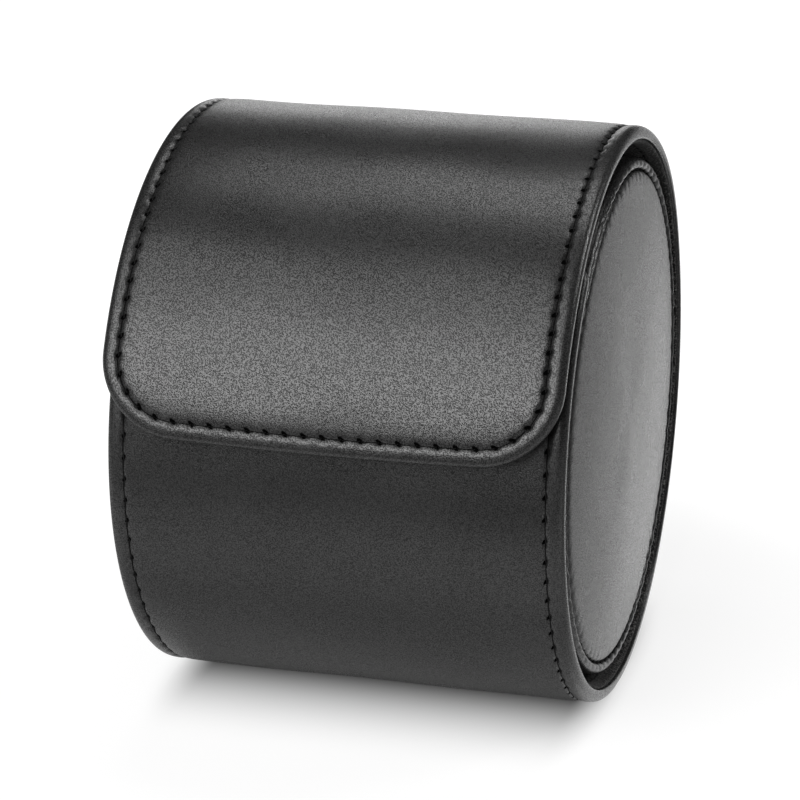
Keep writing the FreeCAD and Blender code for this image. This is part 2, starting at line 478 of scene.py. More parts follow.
@dataclass(frozen=True)
class SewingThread:
    """Black waxed thread of twisted plies."""

    name: str = "black_thread"
    dark: float = 0.002
    light: float = 0.007
    ply: float = 0.16
    ply_detail: float = 1.0
    ply_turn: tuple[float, float, float] = (0.6, 0.6, 0.6)
    ply_span: tuple[float, float] = (0.35, 0.7)
    ply_depth: float = 0.04
    roughness: float = 0.65
    roughness_spread: float = 0.2
    specular: float = 0.2

    def make(self) -> bpy.types.Material:
        """Build the material from its twisted plies.

        Returns:
            The finished material.
        """
        shader = Shader(self.name)
        plies = shader.noise(shader.place(turn=self.ply_turn), self.ply, self.ply_detail)
        colour = shader.mix(plies.ramp(*self.ply_span), grey(self.dark), grey(self.light))
        rough = self.roughness + plies * self.roughness_spread
        return shader.finish({"Base Color": colour, "Roughness": rough, "Specular IOR Level": self.specular,
                              "Normal": shader.bump(plies, self.ply_depth)})


@dataclass(frozen=True)
class FibreBoard:
    """Dark fibre board of the stiffeners."""

    name: str = "dark_fibre_board"
    dark: float = 0.014
    dark_warmth: float = 0.08
    light: float = 0.036
    light_warmth: float = 0.06
    fibre: float = 0.5
    fibre_detail: float = 5.0
    fibre_rough: float = 0.65
    fibre_lay: tuple[float, float, float] = (0.25, 1.0, 1.0)
    fibre_turn: tuple[float, float, float] = (0.2, 0.4, 0.1)
    fibre_share: float = 0.6
    fibre_depth: float = 0.06
    fleck: float = 1.6
    fleck_detail: float = 2.0
    roughness: float = 0.8
    roughness_spread: float = 0.15

    def make(self) -> bpy.types.Material:
        """Build the material from its pressed fibres and flecks.

        Returns:
            The finished material.
        """
        shader = Shader(self.name)
        lay = shader.place(self.fibre_lay, self.fibre_turn)
        fibres = shader.noise(lay, self.fibre, self.fibre_detail, self.fibre_rough)
        flecks = shader.noise(shader.place(), self.fleck, self.fleck_detail)
        tone = fibres * self.fibre_share + flecks * (1 - self.fibre_share)
        colour = shader.mix(tone, grey(self.dark, self.dark_warmth), grey(self.light, self.light_warmth))
        rough = self.roughness + fibres * self.roughness_spread
        return shader.finish({"Base Color": colour, "Roughness": rough,
                              "Normal": shader.bump(fibres, self.fibre_depth)})


@dataclass(frozen=True)
class PlatedMagnet:
    """Nickel plating of the magnets, finely brushed."""

    name: str = "nickel_plating"
    dull: float = 0.52
    dull_warmth: float = 0.03
    bright: float = 0.66
    bright_warmth: float = 0.02
    brushing: float = 0.12
    brushing_lay: tuple[float, float, float] = (0.1, 1.0, 1.0)
    brushing_depth: float = 0.004
    patch: float = 2.5
    patch_detail: float = 2.0
    roughness: float = 0.22
    roughness_spread: float = 0.14

    def make(self) -> bpy.types.Material:
        """Build the material from its brushing and dull patches.

        Returns:
            The finished material.
        """
        shader = Shader(self.name)
        brushing = shader.noise(shader.place(self.brushing_lay), self.brushing)
        patches = shader.noise(shader.place(), self.patch, self.patch_detail)
        colour = shader.mix(patches, grey(self.dull, self.dull_warmth), grey(self.bright, self.bright_warmth))
        rough = self.roughness + brushing * self.roughness_spread
        return shader.finish({"Base Color": colour, "Metallic": 1.0, "Roughness": rough,
                              "Normal": shader.bump(brushing, self.brushing_depth)})


# Mesh making


class Piece:
    """Vertices and faces of one piece, collected in millimetres."""

    def __init__(self, name: str) -> None:
        """Start an empty piece.

        Args:
            name: Name of the piece.
        """
        self.name = name
        self.points: list[np.ndarray] = []
        self.values: dict[str, list[np.ndarray]] = {}
        self.faces: list[Sequence[int]] = []
        self.count = 0

    def add(self, points: np.ndarray, values: dict[str, np.ndarray]) -> np.ndarray:
        """Add points with the values that they store.

        Args:
            points: Places, with the coordinates last.
            values: Stored values by name, one for each point.

        Returns:
            Numbers of the new points, in the shape of the places.
        """
        shape = points.shape[:-1]
        total = int(np.prod(shape))
        self.points.append(points.reshape(-1, 3))
        for name, value in values.items():
            self.values.setdefault(name, []).append(np.broadcast_to(value, shape).reshape(-1))
        numbers = np.arange(self.count, self.count + total).reshape(shape)
        self.count += total
        return numbers

    def patch(self, numbers: np.ndarray) -> None:
        """Cover a grid of points with four-sided faces."""
        corners = (numbers[:-1, :-1], numbers[1:, :-1], numbers[1:, 1:], numbers[:-1, 1:])
        self.faces.extend(np.stack(corners, axis=-1).reshape(-1, 4).tolist())

    def tube(self, numbers: np.ndarray) -> None:
        """Close a grid of points round into a tube with a face over each end."""
        self.patch(np.concatenate([numbers, numbers[:, :1]], axis=1))
        self.faces.extend([numbers[0].tolist(), numbers[-1].tolist()])

    def build(self, finish: bpy.types.Material) -> bpy.types.Object:
        """Merge the patches into one closed mesh.

        Args:
            finish: Material of the piece.

        Returns:
            The new object.
        """
        mesh = bpy.data.meshes.new(self.name)
        mesh.from_pydata((np.concatenate(self.points) * MM).tolist(), [], self.faces)
        for name, values in self.values.items():
            stored = mesh.attributes.new(name, "FLOAT", "POINT")
            stored.data.foreach_set("value", np.concatenate(values).astype(np.float32))
        work = bmesh.new()
        work.from_mesh(mesh)
        bmesh.ops.remove_doubles(work, verts=work.verts, dist=MERGE_DISTANCE)
        bmesh.ops.recalc_face_normals(work, faces=work.faces)
        work.to_mesh(mesh)
        work.free()
        return shown(mesh, self.name, finish)


def placed(name: str, data: bpy.types.ID) -> bpy.types.Object:
    """Put an object with that data in the scene.

    Args:
        name: Name of the object.
        data: Mesh, light or camera.

    Returns:
        The new object.
    """
    made = bpy.data.objects.new(name, data)
    bpy.context.scene.collection.objects.link(made)
    return made


def shown(mesh: bpy.types.Mesh, name: str, finish: bpy.types.Material) -> bpy.types.Object:
    """Put a finished mesh in the scene.

    Args:
        mesh: Mesh in metres.
        name: Name of the piece.
        finish: Material of the piece.

    Returns:
        The new object.
    """
    mesh.materials.clear()
    mesh.materials.append(finish)
    mesh.polygons.foreach_set("use_smooth", [True] * len(mesh.polygons))
    mesh.set_sharp_from_angle(angle=CREASE_ANGLE)
    return placed(name, mesh)


def plain_mesh(source: bpy.types.Object) -> bpy.types.Mesh:
    """Mesh of an object with its modifiers applied."""
    return bpy.data.meshes.new_from_object(source.evaluated_get(bpy.context.evaluated_depsgraph_get()))


def near_hole(turn: np.ndarray) -> np.ndarray:
    """Nearness to a needle hole, 1 at each full turn and 0 halfway between two."""
    return (0.5 + 0.5 * np.cos(turn)) ** HOLE_SHARPNESS


def sewn_values(turn: np.ndarray, beside: np.ndarray, edge: np.ndarray) -> dict[str, np.ndarray]:
    """Values that a sewn mesh stores for its finish.

    Args:
        turn: Angle along the sewn line, a full turn from one needle hole to the next.
        beside: Distance from the sewn line.
        edge: Nearness to the piece's edge, from 0 to 1.

    Returns:
        The stored values by name.
    """
    everywhere = np.zeros_like(beside)
    return {"stitch_x": np.cos(turn) + everywhere, "stitch_y": np.sin(turn) + everywhere,
            "beside": beside, "edge": edge}


# Wrap of leather and lining


@dataclass(frozen=True)
class WrapLine:
    """Outer line of the wrap, from the flap's free edge over the top and back to the front wall's edge."""

    shell_radius: float
    growth: float
    axis_height: float
    flap_edge: float = 10.0
    flap_root: float = 144.0
    shell_root: float = 156.0
    back: float = 180.0
    wall_edge: float = 410.0
    fullness: float = 0.9
    fullest: float = 138.0
    fullness_reach: float = 19.0

    @classmethod
    def from_frame(cls) -> "WrapLine":
        """Read the two arcs from the shell's box and the flap's hinge.

        Returns:
            The line, with its axis at the shell's height.
        """
        low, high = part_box("shell_leather")
        radius = (high.y - low.y) / 2 / MM
        hinge = next(joint for joint in frame["joints"] if joint["name"] == "flap_hinge")
        across, up = (value / MM for value in hinge["pos_m"][1:])
        turn = math.radians((cls.flap_root + cls.shell_root) / 2)
        growth = (across + radius * math.cos(turn)) / (-1 - math.cos(turn))
        return cls(radius, growth, up - (radius + growth) * math.sin(turn))

    @property
    def flap_radius(self) -> float:
        """Radius of the arc over the top and the front."""
        return self.shell_radius + self.growth

    def run_at(self, angle: float) -> float:
        """Length along the line up to an angle round the tube.

        Args:
            angle: Angle from the front, in degrees.

        Returns:
            Length from the flap's free edge.
        """
        upper = min(angle, self.back) - self.flap_edge
        lower = max(angle - self.back, 0.0)
        return math.radians(upper) * self.flap_radius + math.radians(lower) * self.shell_radius

    def turn_at(self, run: np.ndarray) -> np.ndarray:
        """Angle round the tube at a length along the line, in radians."""
        back_run = self.run_at(self.back)
        return np.where(run <= back_run, math.radians(self.flap_edge) + run / self.flap_radius,
                        math.pi + (run - back_run) / self.shell_radius)

    def outward(self, run: np.ndarray) -> np.ndarray:
        """Directions out of the wrap at lengths along the line, with the coordinates last."""
        turn = self.turn_at(run)
        return np.stack([np.zeros_like(turn), -np.cos(turn), np.sin(turn)], axis=-1)

    def place(self, along: np.ndarray, run: np.ndarray, lift: np.ndarray) -> np.ndarray:
        """Points of the wrap.

        Args:
            along: Places along the tube.
            run: Lengths along the line.
            lift: Heights above the line, below zero inwards.

        Returns:
            Places, with the coordinates last.
        """
        upper, turn = run <= self.run_at(self.back), self.turn_at(run)
        full = self.fullness * np.exp(-((np.degrees(turn) - self.fullest) / self.fullness_reach) ** 2)
        radius = np.where(upper, self.flap_radius, self.shell_radius) + lift + full
        across = np.where(upper, -self.growth, 0.0) - radius * np.cos(turn)
        up = np.maximum(self.axis_height + radius * np.sin(turn), 0.0)
        return np.stack(np.broadcast_arrays(along, across, up), axis=-1)


@dataclass(frozen=True)
class EdgeSection:
    """Section of a sheet across its edge: pairs of distance from the edge and height above the line."""

    outer: tuple[tuple[float, float], ...]
    rim: tuple[tuple[float, float], ...]
    inner: tuple[tuple[float, float], ...]
    sewn_on: Face
    seam: float = 2.7
    pit_depth: float = 0.24
    pit_reach: float = 0.45
    pull_depth: float = 0.1
    pull_reach: float = 1.15
    # Span of the edge mask, which makes the edge glossier and paints it lighter as a highlight
    burnish_and_highlight_span: tuple[float, float] = (0.1, 1.1)
    point_room: float = 0.05

    def band(self, width: float) -> tuple[np.ndarray, int]:
        """Section within a width of the edge.

        Args:
            width: Distance from the edge that the band ends at.

        Returns:
            Points from the outer side round to the inner side, and how many are on the outer side.
        """
        last = np.array(width)
        outer = [(width, float(self.height(last)))] + self.within(self.outer, width)
        inner = self.within(self.inner, width) + [(width, float(self.depth(last)))]
        return np.array(outer + list(self.rim) + inner), len(outer)

    def within(self, pairs: Sequence[tuple[float, float]], width: float) -> list[tuple[float, float]]:
        """Pairs that lie inside a width, with room to its last point."""
        return [pair for pair in pairs if pair[0] < width - self.point_room]

    def height(self, distance: np.ndarray) -> np.ndarray:
        """Height of the outer side at a distance from the edge."""
        ends, lifts = zip(*reversed(self.outer))
        return np.interp(distance, ends, lifts)

    def depth(self, distance: np.ndarray) -> np.ndarray:
        """Height of the inner side at a distance from the edge."""
        ends, lifts = zip(*self.inner)
        return np.interp(distance, ends, lifts)


LEATHER_SECTION = EdgeSection(
    outer=((22.0, 0.16), (12.0, 0.15), (9.0, 0.15), (7.0, 0.15), (5.8, 0.145), (5.0, 0.13), (4.3, 0.11),
           (3.8, 0.085), (3.45, 0.05), (3.2, 0.015), (3.02, -0.035), (2.86, -0.11), (2.7, -0.19),
           (2.54, -0.1), (2.36, -0.02), (2.1, 0.03), (1.8, 0.05), (1.4, 0.04), (1.05, 0.0), (0.75, -0.08),
           (0.5, -0.2), (0.3, -0.36), (0.14, -0.58)),
    rim=((0.04, -0.85), (0.0, -1.15), (0.0, -1.7), (0.06, -1.9), (0.22, -2.0)),
    inner=((0.6, -2.0), (1.19, -2.0), (1.2, -1.2)),
    sewn_on=Face.OUTER)
LINING_SECTION = EdgeSection(
    outer=((22.0, -2.0), (2.0, -2.0), (1.3, -2.0)),
    rim=((0.62, -2.02), (0.5, -2.12), (0.5, -2.3), (0.6, -2.48)),
    inner=((0.85, -2.66), (1.2, -2.82), (1.7, -2.95), (2.2, -3.0), (2.45, -2.97), (2.7, -2.9), (3.0, -2.97),
           (3.6, -3.08), (4.4, -3.15), (6.0, -3.2)),
    sewn_on=Face.INNER)


@dataclass(frozen=True)
class Seam:
    """Row of needle holes along an edge, counted along the sewn line from the middle of the flap's edge."""

    pitch: float
    first_hole: float

    def turn(self, place: np.ndarray) -> np.ndarray:
        """Angle that grows by a full turn from one needle hole to the next."""
        return FULL_TURN * (place - self.first_hole) / self.pitch


@dataclass(frozen=True)
class Sheet:
    """One length of the wrap, from its free end, or a plain cut, to the cut at its root.

    Each wave of its skin is a share, two lengths that it runs over, along and round the tube, and a phase.
    """

    line: WrapLine
    start: float
    end: float
    half_width: float
    corner: float
    seam: Seam
    seam_from: float
    bow: float = 0.0
    bow_reach: float = 45.0
    spring: float = 0.0
    spring_reach: float = 10.0
    plain_band: float = 9.0
    steps_per_stitch: int = 6
    least_step_share: float = 0.3
    corner_steps: int = 10
    column_steps: int = 1
    grading: tuple[float, ...] = ()
    grading_room: float = 0.2
    uneven: float = 0.05
    uneven_span: tuple[float, float] = (3.8, 10.0)
    waves: tuple[tuple[float, float, float, float], ...] = (
        (1.0, 6.1, 9.7, 0.6), (0.7, 4.3, -6.7, 2.1), (0.8, 11.0, 5.3, 4.0))
    thread_step: float = 0.3
    thread_floor: float = 0.4

    @property
    def length(self) -> float:
        """Length of the sheet round the tube."""
        return abs(self.end - self.start)

    @property
    def sense(self) -> int:
        """Sense of the sheet and its seam along the wrap's line: 1 onwards, -1 back."""
        return 1 if self.end > self.start else -1

    @property
    def band_width(self) -> float:
        """Width of the band of points along the edges."""
        return self.corner if self.corner else self.plain_band

    @property
    def straight(self) -> float:
        """Half of the free end's length between its corners, zero at a plain cut."""
        return self.half_width - self.corner if self.corner else 0.0

    def corner_seam(self, seam_distance: float) -> float:
        """Length of the sewn line round one corner, at a distance from the edge."""
        return max(self.corner - seam_distance, 0.0) * QUARTER_TURN

    def seam_place(self, share: np.ndarray, seam_distance: float, side: np.ndarray) -> np.ndarray:
        """Place along the sewn line of a corner or side point.

        Args:
            share: Share of the corner's turn, 1 where the side starts.
            seam_distance: Distance of the sewn line from the edge.
            side: Distance up the side from the corner's end.

        Returns:
            Places along the sewn line.
        """
        turn = self.corner_seam(seam_distance)
        return self.seam_from + self.sense * (self.straight + turn * share + side)

    def steps(self, low: float, high: float, origin: float) -> np.ndarray:
        """Distances that follow the needle holes between two ends.

        Args:
            low: First distance.
            high: Last distance.
            origin: Place along the sewn line at distance zero.

        Returns:
            Rising distances, with both ends.
        """
        step = self.seam.pitch / self.steps_per_stitch
        offset = (self.sense * (self.seam.first_hole - origin)) % step
        first, last = math.floor((low - offset) / step), math.ceil((high - offset) / step)
        inner = np.arange(first, last + 1) * step + offset
        room = self.least_step_share * step
        return np.concatenate([[low], inner[(inner > low + room) & (inner < high - room)], [high]])

    def side_places(self, section: EdgeSection) -> np.ndarray:
        """Distances from the free end of the rows of points."""
        origin = float(self.seam_place(np.array(1.0), section.seam, np.array(-self.corner)))
        return self.steps(self.corner, self.length, origin)

    def columns(self) -> np.ndarray:
        """Places along the tube of the columns of points between the edge bands.

        Returns:
            Rising places.
        """
        reach = self.half_width - self.band_width
        half = self.steps(0.0, reach, self.seam_from)[::self.column_steps]
        half = half[half < reach - max(self.grading, default=0.0) - self.grading_room]
        graded = [reach - step for step in sorted(self.grading, reverse=True)]
        half = np.concatenate([half, graded, [reach]])
        return np.concatenate([-half[:0:-1], half])

    def run_of(self, along: np.ndarray, off: np.ndarray) -> np.ndarray:
        """Lengths along the wrap's line at distances from the free end."""
        sag = self.bow * (1 - (along / self.half_width) ** 2) * (1 - ease(off, 0.0, self.bow_reach))
        return self.start + self.sense * (off - sag)

    def points(self, along: np.ndarray, off: np.ndarray, lift: np.ndarray) -> np.ndarray:
        """Places of points of the sheet.

        Args:
            along: Places along the tube.
            off: Distances from the free end.
            lift: Heights above the wrap's line.

        Returns:
            Places, with the coordinates last.
        """
        away = self.spring * np.clip(1 - off / self.spring_reach, 0.0, 1.0) ** 2
        return self.line.place(along, self.run_of(along, off), lift + away)

    def unevenness(self, along: np.ndarray, off: np.ndarray, distance: np.ndarray) -> np.ndarray:
        """Slight waves of the skin, fading out at the edges.

        Args:
            along: Places along the tube.
            off: Distances from the free end.
            distance: Distances from the edge.

        Returns:
            Heights in millimetres.
        """
        run = self.start + self.sense * off
        waves = sum(share * np.sin(along / along_length + run / run_length + phase)
                    for share, along_length, run_length, phase in self.waves)
        return self.uneven * waves * ease(distance, *self.uneven_span)

    def sewn(self, section: EdgeSection, distance: np.ndarray, place: np.ndarray) -> np.ndarray:
        """Drop of the surface where the thread pulls on it.

        Args:
            section: Section of the sheet across its edge.
            distance: Distances from the edge.
            place: Places along the sewn line.

        Returns:
            Drops in millimetres.
        """
        away = distance - section.seam
        pit = section.pit_depth * np.exp(-(away / section.pit_reach) ** 2)
        pull = (pit + section.pull_depth) * (1 - ease(np.abs(away), 0.0, section.pull_reach))
        return near_hole(self.seam.turn(place)) * pull

    def band(self, piece: Piece, section: EdgeSection, origin: np.ndarray, inward: np.ndarray,
             place: np.ndarray) -> np.ndarray:
        """Add a band along part of the edge.

        Args:
            piece: Piece that takes the band.
            section: Section across the edge.
            origin: Points of the edge, as places along the tube and distances from the free end.
            inward: Directions away from the edge, in the same pair.
            place: Places of those points along the sewn line.

        Returns:
            Numbers of the points, one row for each point of the edge.
        """
        across, outer_count = section.band(self.band_width)
        distance = np.broadcast_to(across[:, 0], (len(origin), len(across)))
        along = origin[:, :1] + inward[:, :1] * distance
        off = origin[:, 1:] + inward[:, 1:] * distance
        skin = section.sewn_on is Face.OUTER
        outer_side = np.arange(len(across)) < outer_count
        sewn_here = outer_side if skin else ~outer_side
        drop = self.sewn(section, distance, place[:, None])
        lift = across[:, 1] - section.sewn_on.value * drop * sewn_here
        lift = lift + self.unevenness(along, off, distance) * outer_side * skin
        edge = (1 - ease(distance, *section.burnish_and_highlight_span)) * skin
        beside = np.where(sewn_here, distance - section.seam, UNSEWN)
        hand = np.where(origin[:, :1] < 0, End.LEFT.value, End.RIGHT.value)
        values = sewn_values(hand * self.seam.turn(place[:, None]), beside, edge)
        numbers = piece.add(self.points(along, off, lift), values)
        piece.patch(numbers)
        return numbers

    def build(self, name: str, section: EdgeSection, finish: bpy.types.Material) -> bpy.types.Object:
        """Build the sheet as one closed mesh.

        Args:
            name: Name of the piece.
            section: Section across its edges.
            finish: Material of the piece.

        Returns:
            The new object.
        """
        piece = Piece(name)
        rows, columns = self.side_places(section), self.columns()
        cuts = [len(rows) - 1] if self.corner else [0, len(rows) - 1]
        side_place = self.seam_place(np.array(1.0), section.seam, rows - self.corner)
        for side in End:
            origin = np.stack([np.full(len(rows), side.value * self.half_width), rows], axis=1)
            inward = np.tile((-side.value, 0.0), (len(rows), 1))
            numbers = self.band(piece, section, origin, inward, side_place)
            piece.faces.extend(numbers[row].tolist() for row in cuts)
            if self.corner:
                self.round_corner(piece, section, side)
        if self.corner:
            origin = np.stack([columns, np.zeros(len(columns))], axis=1)
            place = self.seam_from + self.sense * np.abs(columns)
            self.band(piece, section, origin, np.tile((0.0, 1.0), (len(columns), 1)), place)
        along, off = np.meshgrid(columns, rows)
        distance = np.minimum(self.half_width - np.abs(along), off if self.corner else np.inf)
        lifts = {Face.OUTER: section.height(distance), Face.INNER: section.depth(distance)}
        if section.sewn_on is Face.OUTER:
            lifts[Face.OUTER] = lifts[Face.OUTER] + self.unevenness(along, off, distance)
        hand = np.where(along < 0, End.LEFT.value, End.RIGHT.value)
        turn = hand * self.seam.turn(side_place[:, None])
        layers = []
        for face, lift in lifts.items():
            beside = distance - section.seam if face is section.sewn_on else np.full(along.shape, UNSEWN)
            values = sewn_values(turn, beside, np.zeros(along.shape))
            layers.append(piece.add(self.points(along, off, lift), values))
        for layer in layers:
            piece.patch(layer)
        for row in cuts:
            piece.patch(np.stack([layer[row] for layer in layers]))
        return piece.build(finish)

    def round_corner(self, piece: Piece, section: EdgeSection, side: End) -> None:
        """Add the fan of points in one free corner.

        Args:
            piece: Piece that takes the fan.
            section: Section across the edge.
            side: End of the roll that the corner is at.
        """
        turn = self.corner_seam(section.seam)
        lengths = self.steps(self.straight, self.straight + turn, self.seam_from) - self.straight
        even = np.linspace(0.0, 1.0, self.corner_steps + 1)
        shares = lengths / turn if len(lengths) >= self.corner_steps else even
        angle = shares * QUARTER_TURN
        outward = np.stack([side.value * np.sin(angle), -np.cos(angle)], axis=1)
        centre = np.array([side.value * self.straight, self.corner])
        place = self.seam_place(shares, section.seam, np.zeros(len(shares)))
        self.band(piece, section, centre + self.corner * outward, -outward, place)

    def sewn_path(self, seam_distance: float, first: float, last: float, lift: float,
                  side: End) -> tuple[np.ndarray, np.ndarray]:
        """Line of thread centres along one half of the sheet's seam.

        Args:
            seam_distance: Distance of the sewn line from the edge.
            first: First place along the sewn line.
            last: Last place along the sewn line.
            lift: Height of the line above the wrap's line.
            side: End of the roll that the seam runs along.

        Returns:
            Points of the line, and the outward directions there.
        """
        count = max(int(abs(last - first) / self.thread_step), 2)
        length = self.sense * (np.linspace(first, last, count) - self.seam_from)
        along, off = np.full(count, self.half_width - seam_distance), length
        if self.corner:
            bend = self.corner - seam_distance
            turn = np.clip((length - self.straight) / bend, 0.0, QUARTER_TURN)
            beyond = np.maximum(length - self.straight - bend * QUARTER_TURN, 0.0)
            along = np.minimum(length, self.straight) + bend * np.sin(turn)
            off = self.corner - bend * np.cos(turn) + beyond
        middle = self.points(side.value * along, off, np.full(count, lift))
        middle[:, 2] = np.maximum(middle[:, 2], self.thread_floor)
        return middle, self.line.outward(self.run_of(along, off))


# Sewing thread


class ThreadTree(NodeTree):
    """Geometry Nodes tree that lays one stitch at each step along a sewn line."""

    sizes: tuple[str, ...] = ("Pitch", "Thread Radius", "Rise", "Dip", "Slant")
    slant_spread: tuple[float, float] = (0.7, 1.3)
    half_share: float = 0.46
    spine_steps: int = 5
    ring_sides: int = 6

    def __init__(self, name: str) -> None:
        """Build the tree with its named inputs.

        Args:
            name: Name of the tree.
        """
        self.tree = bpy.data.node_groups.new(name, "GeometryNodeTree")
        self.inputs: dict[str, str] = {}
        self.socket("Sewn Line", "INPUT", "NodeSocketGeometry")
        for size in self.sizes:
            self.socket(size, "INPUT", "NodeSocketFloat")
        self.socket("Seed", "INPUT", "NodeSocketInt")
        self.socket("Finish", "INPUT", "NodeSocketMaterial")
        self.socket("Stitches", "OUTPUT", "NodeSocketGeometry")
        self.wire()

    def socket(self, name: str, way: str, kind: str) -> None:
        """Add one socket to the tree's interface and keep its identifier."""
        made = self.tree.interface.new_socket(name=name, in_out=way, socket_type=kind)
        self.inputs[name] = made.identifier

    def vector(self, **parts: Any) -> Socket:
        """Vector of the parts that are given by name."""
        return self.node("ShaderNodeCombineXYZ", {}, parts).outputs["Vector"]

    def stitch(self, given: Mapping[str, Socket]) -> Socket:
        """One stitch: a thread that rises in its middle and dips into a needle hole at both ends.

        Args:
            given: Sockets of the tree's inputs by name.

        Returns:
            Mesh socket.
        """
        half = Signal(self, given["Pitch"]) * self.half_share
        down = Signal(self, given["Dip"]) * -1.0
        spine = self.node("GeometryNodeCurveQuadraticBezier", {},
                          {"Resolution": self.spine_steps, "Start": self.vector(X=half * -1.0, Z=down),
                           "Middle": self.vector(Z=given["Rise"]), "End": self.vector(X=half, Z=down)})
        ring = self.node("GeometryNodeCurvePrimitiveCircle", {},
                         {"Resolution": self.ring_sides, "Radius": given["Thread Radius"]})
        thread = self.node("GeometryNodeCurveToMesh", {},
                           {"Curve": spine.outputs["Curve"], "Profile Curve": ring.outputs["Curve"],
                            "Fill Caps": True})
        return thread.outputs["Mesh"]

    def lie(self, given: Mapping[str, Socket]) -> Socket:
        """Rotation of each stitch: along the line, facing outwards, and slanted by chance.

        Args:
            given: Sockets of the tree's inputs by name.

        Returns:
            Rotation socket.
        """
        facing = self.node("GeometryNodeInputNamedAttribute", {"data_type": "FLOAT_VECTOR"},
                           {"Name": "facing"})
        tangent = self.node("GeometryNodeInputTangent", {}, {}).outputs["Tangent"]
        turned = self.node("FunctionNodeAxesToRotation", {"primary_axis": "Z", "secondary_axis": "X"},
                           {"Primary Axis": facing.outputs["Attribute"], "Secondary Axis": tangent})
        least, most = self.slant_spread
        chance = self.node("FunctionNodeRandomValue", {"data_type": "FLOAT"},
                           {2: least, 3: most, "Seed": given["Seed"]})
        slant = Signal(self, given["Slant"]) * chance.outputs[1]
        swing = self.node("FunctionNodeEulerToRotation", {}, {"Euler": self.vector(Z=slant)})
        lain = self.node("FunctionNodeRotateRotation", {"rotation_space": "LOCAL"},
                         {"Rotation": turned.outputs[0], "Rotate By": swing.outputs[0]})
        return lain.outputs[0]

    def wire(self) -> None:
        """Join the sewn line to the stitches."""
        given = self.node("NodeGroupInput", {}, {}).outputs
        line = self.node("GeometryNodeMeshToCurve", {}, {"Mesh": given["Sewn Line"]})
        steps = self.node("GeometryNodeResampleCurve", {"mode": "LENGTH"},
                          {"Curve": line.outputs["Curve"], "Length": given["Pitch"]})
        laid = self.node("GeometryNodeInstanceOnPoints", {},
                         {"Points": steps.outputs["Curve"], "Instance": self.stitch(given),
                          "Rotation": self.lie(given)})
        solid = self.node("GeometryNodeRealizeInstances", {}, {"Geometry": laid.outputs["Instances"]})
        done = self.node("GeometryNodeSetMaterial", {},
                         {"Geometry": solid.outputs["Geometry"], "Material": given["Finish"]})
        self.node("NodeGroupOutput", {}, {"Stitches": done.outputs["Geometry"]})


@dataclass
class Sewing:
    """Thread that all seams of the roll are sewn with."""

    finish: bpy.types.Material
    radius: float = 0.14
    rise: float = 0.12
    dip: float = 0.3
    slant: float = 0.05
    seed: int = 7
    tree: ThreadTree = field(default_factory=lambda: ThreadTree("stitch_row"))

    def row(self, name: str, lines: Sequence[tuple[np.ndarray, np.ndarray]], pitch: float,
            closed: bool = False) -> bpy.types.Object:
        """Sew one set of lines.

        Args:
            name: Name of the piece.
            lines: Points in millimetres and outward directions of each line.
            pitch: Length of a stitch.
            closed: Whether each line runs back to its start.

        Returns:
            Object with all the stitches as one mesh.
        """
        points = np.concatenate([line for line, _ in lines]) * MM
        facing = np.concatenate([way for _, way in lines])
        edges, start = [], 0
        for line, _ in lines:
            edges.extend((number, number + 1) for number in range(start, start + len(line) - 1))
            if closed:
                edges.append((start + len(line) - 1, start))
            start += len(line)
        mesh = bpy.data.meshes.new(name + "_line")
        mesh.from_pydata(points.tolist(), edges, [])
        stored = mesh.attributes.new("facing", "FLOAT_VECTOR", "POINT")
        stored.data.foreach_set("vector", facing.astype(np.float32).ravel())
        carrier = placed(name + "_line", mesh)
        modifier = carrier.modifiers.new("stitches", "NODES")
        modifier.node_group = self.tree.tree
        inputs = {"Pitch": pitch * MM, "Thread Radius": self.radius * MM, "Rise": self.rise * MM,
                  "Dip": self.dip * MM, "Slant": self.slant, "Seed": self.seed, "Finish": self.finish}
        for socket, value in inputs.items():
            modifier[self.tree.inputs[socket]] = value
        made = plain_mesh(carrier)
        made.name = name
        bpy.data.objects.remove(carrier)
        return shown(made, name, self.finish)


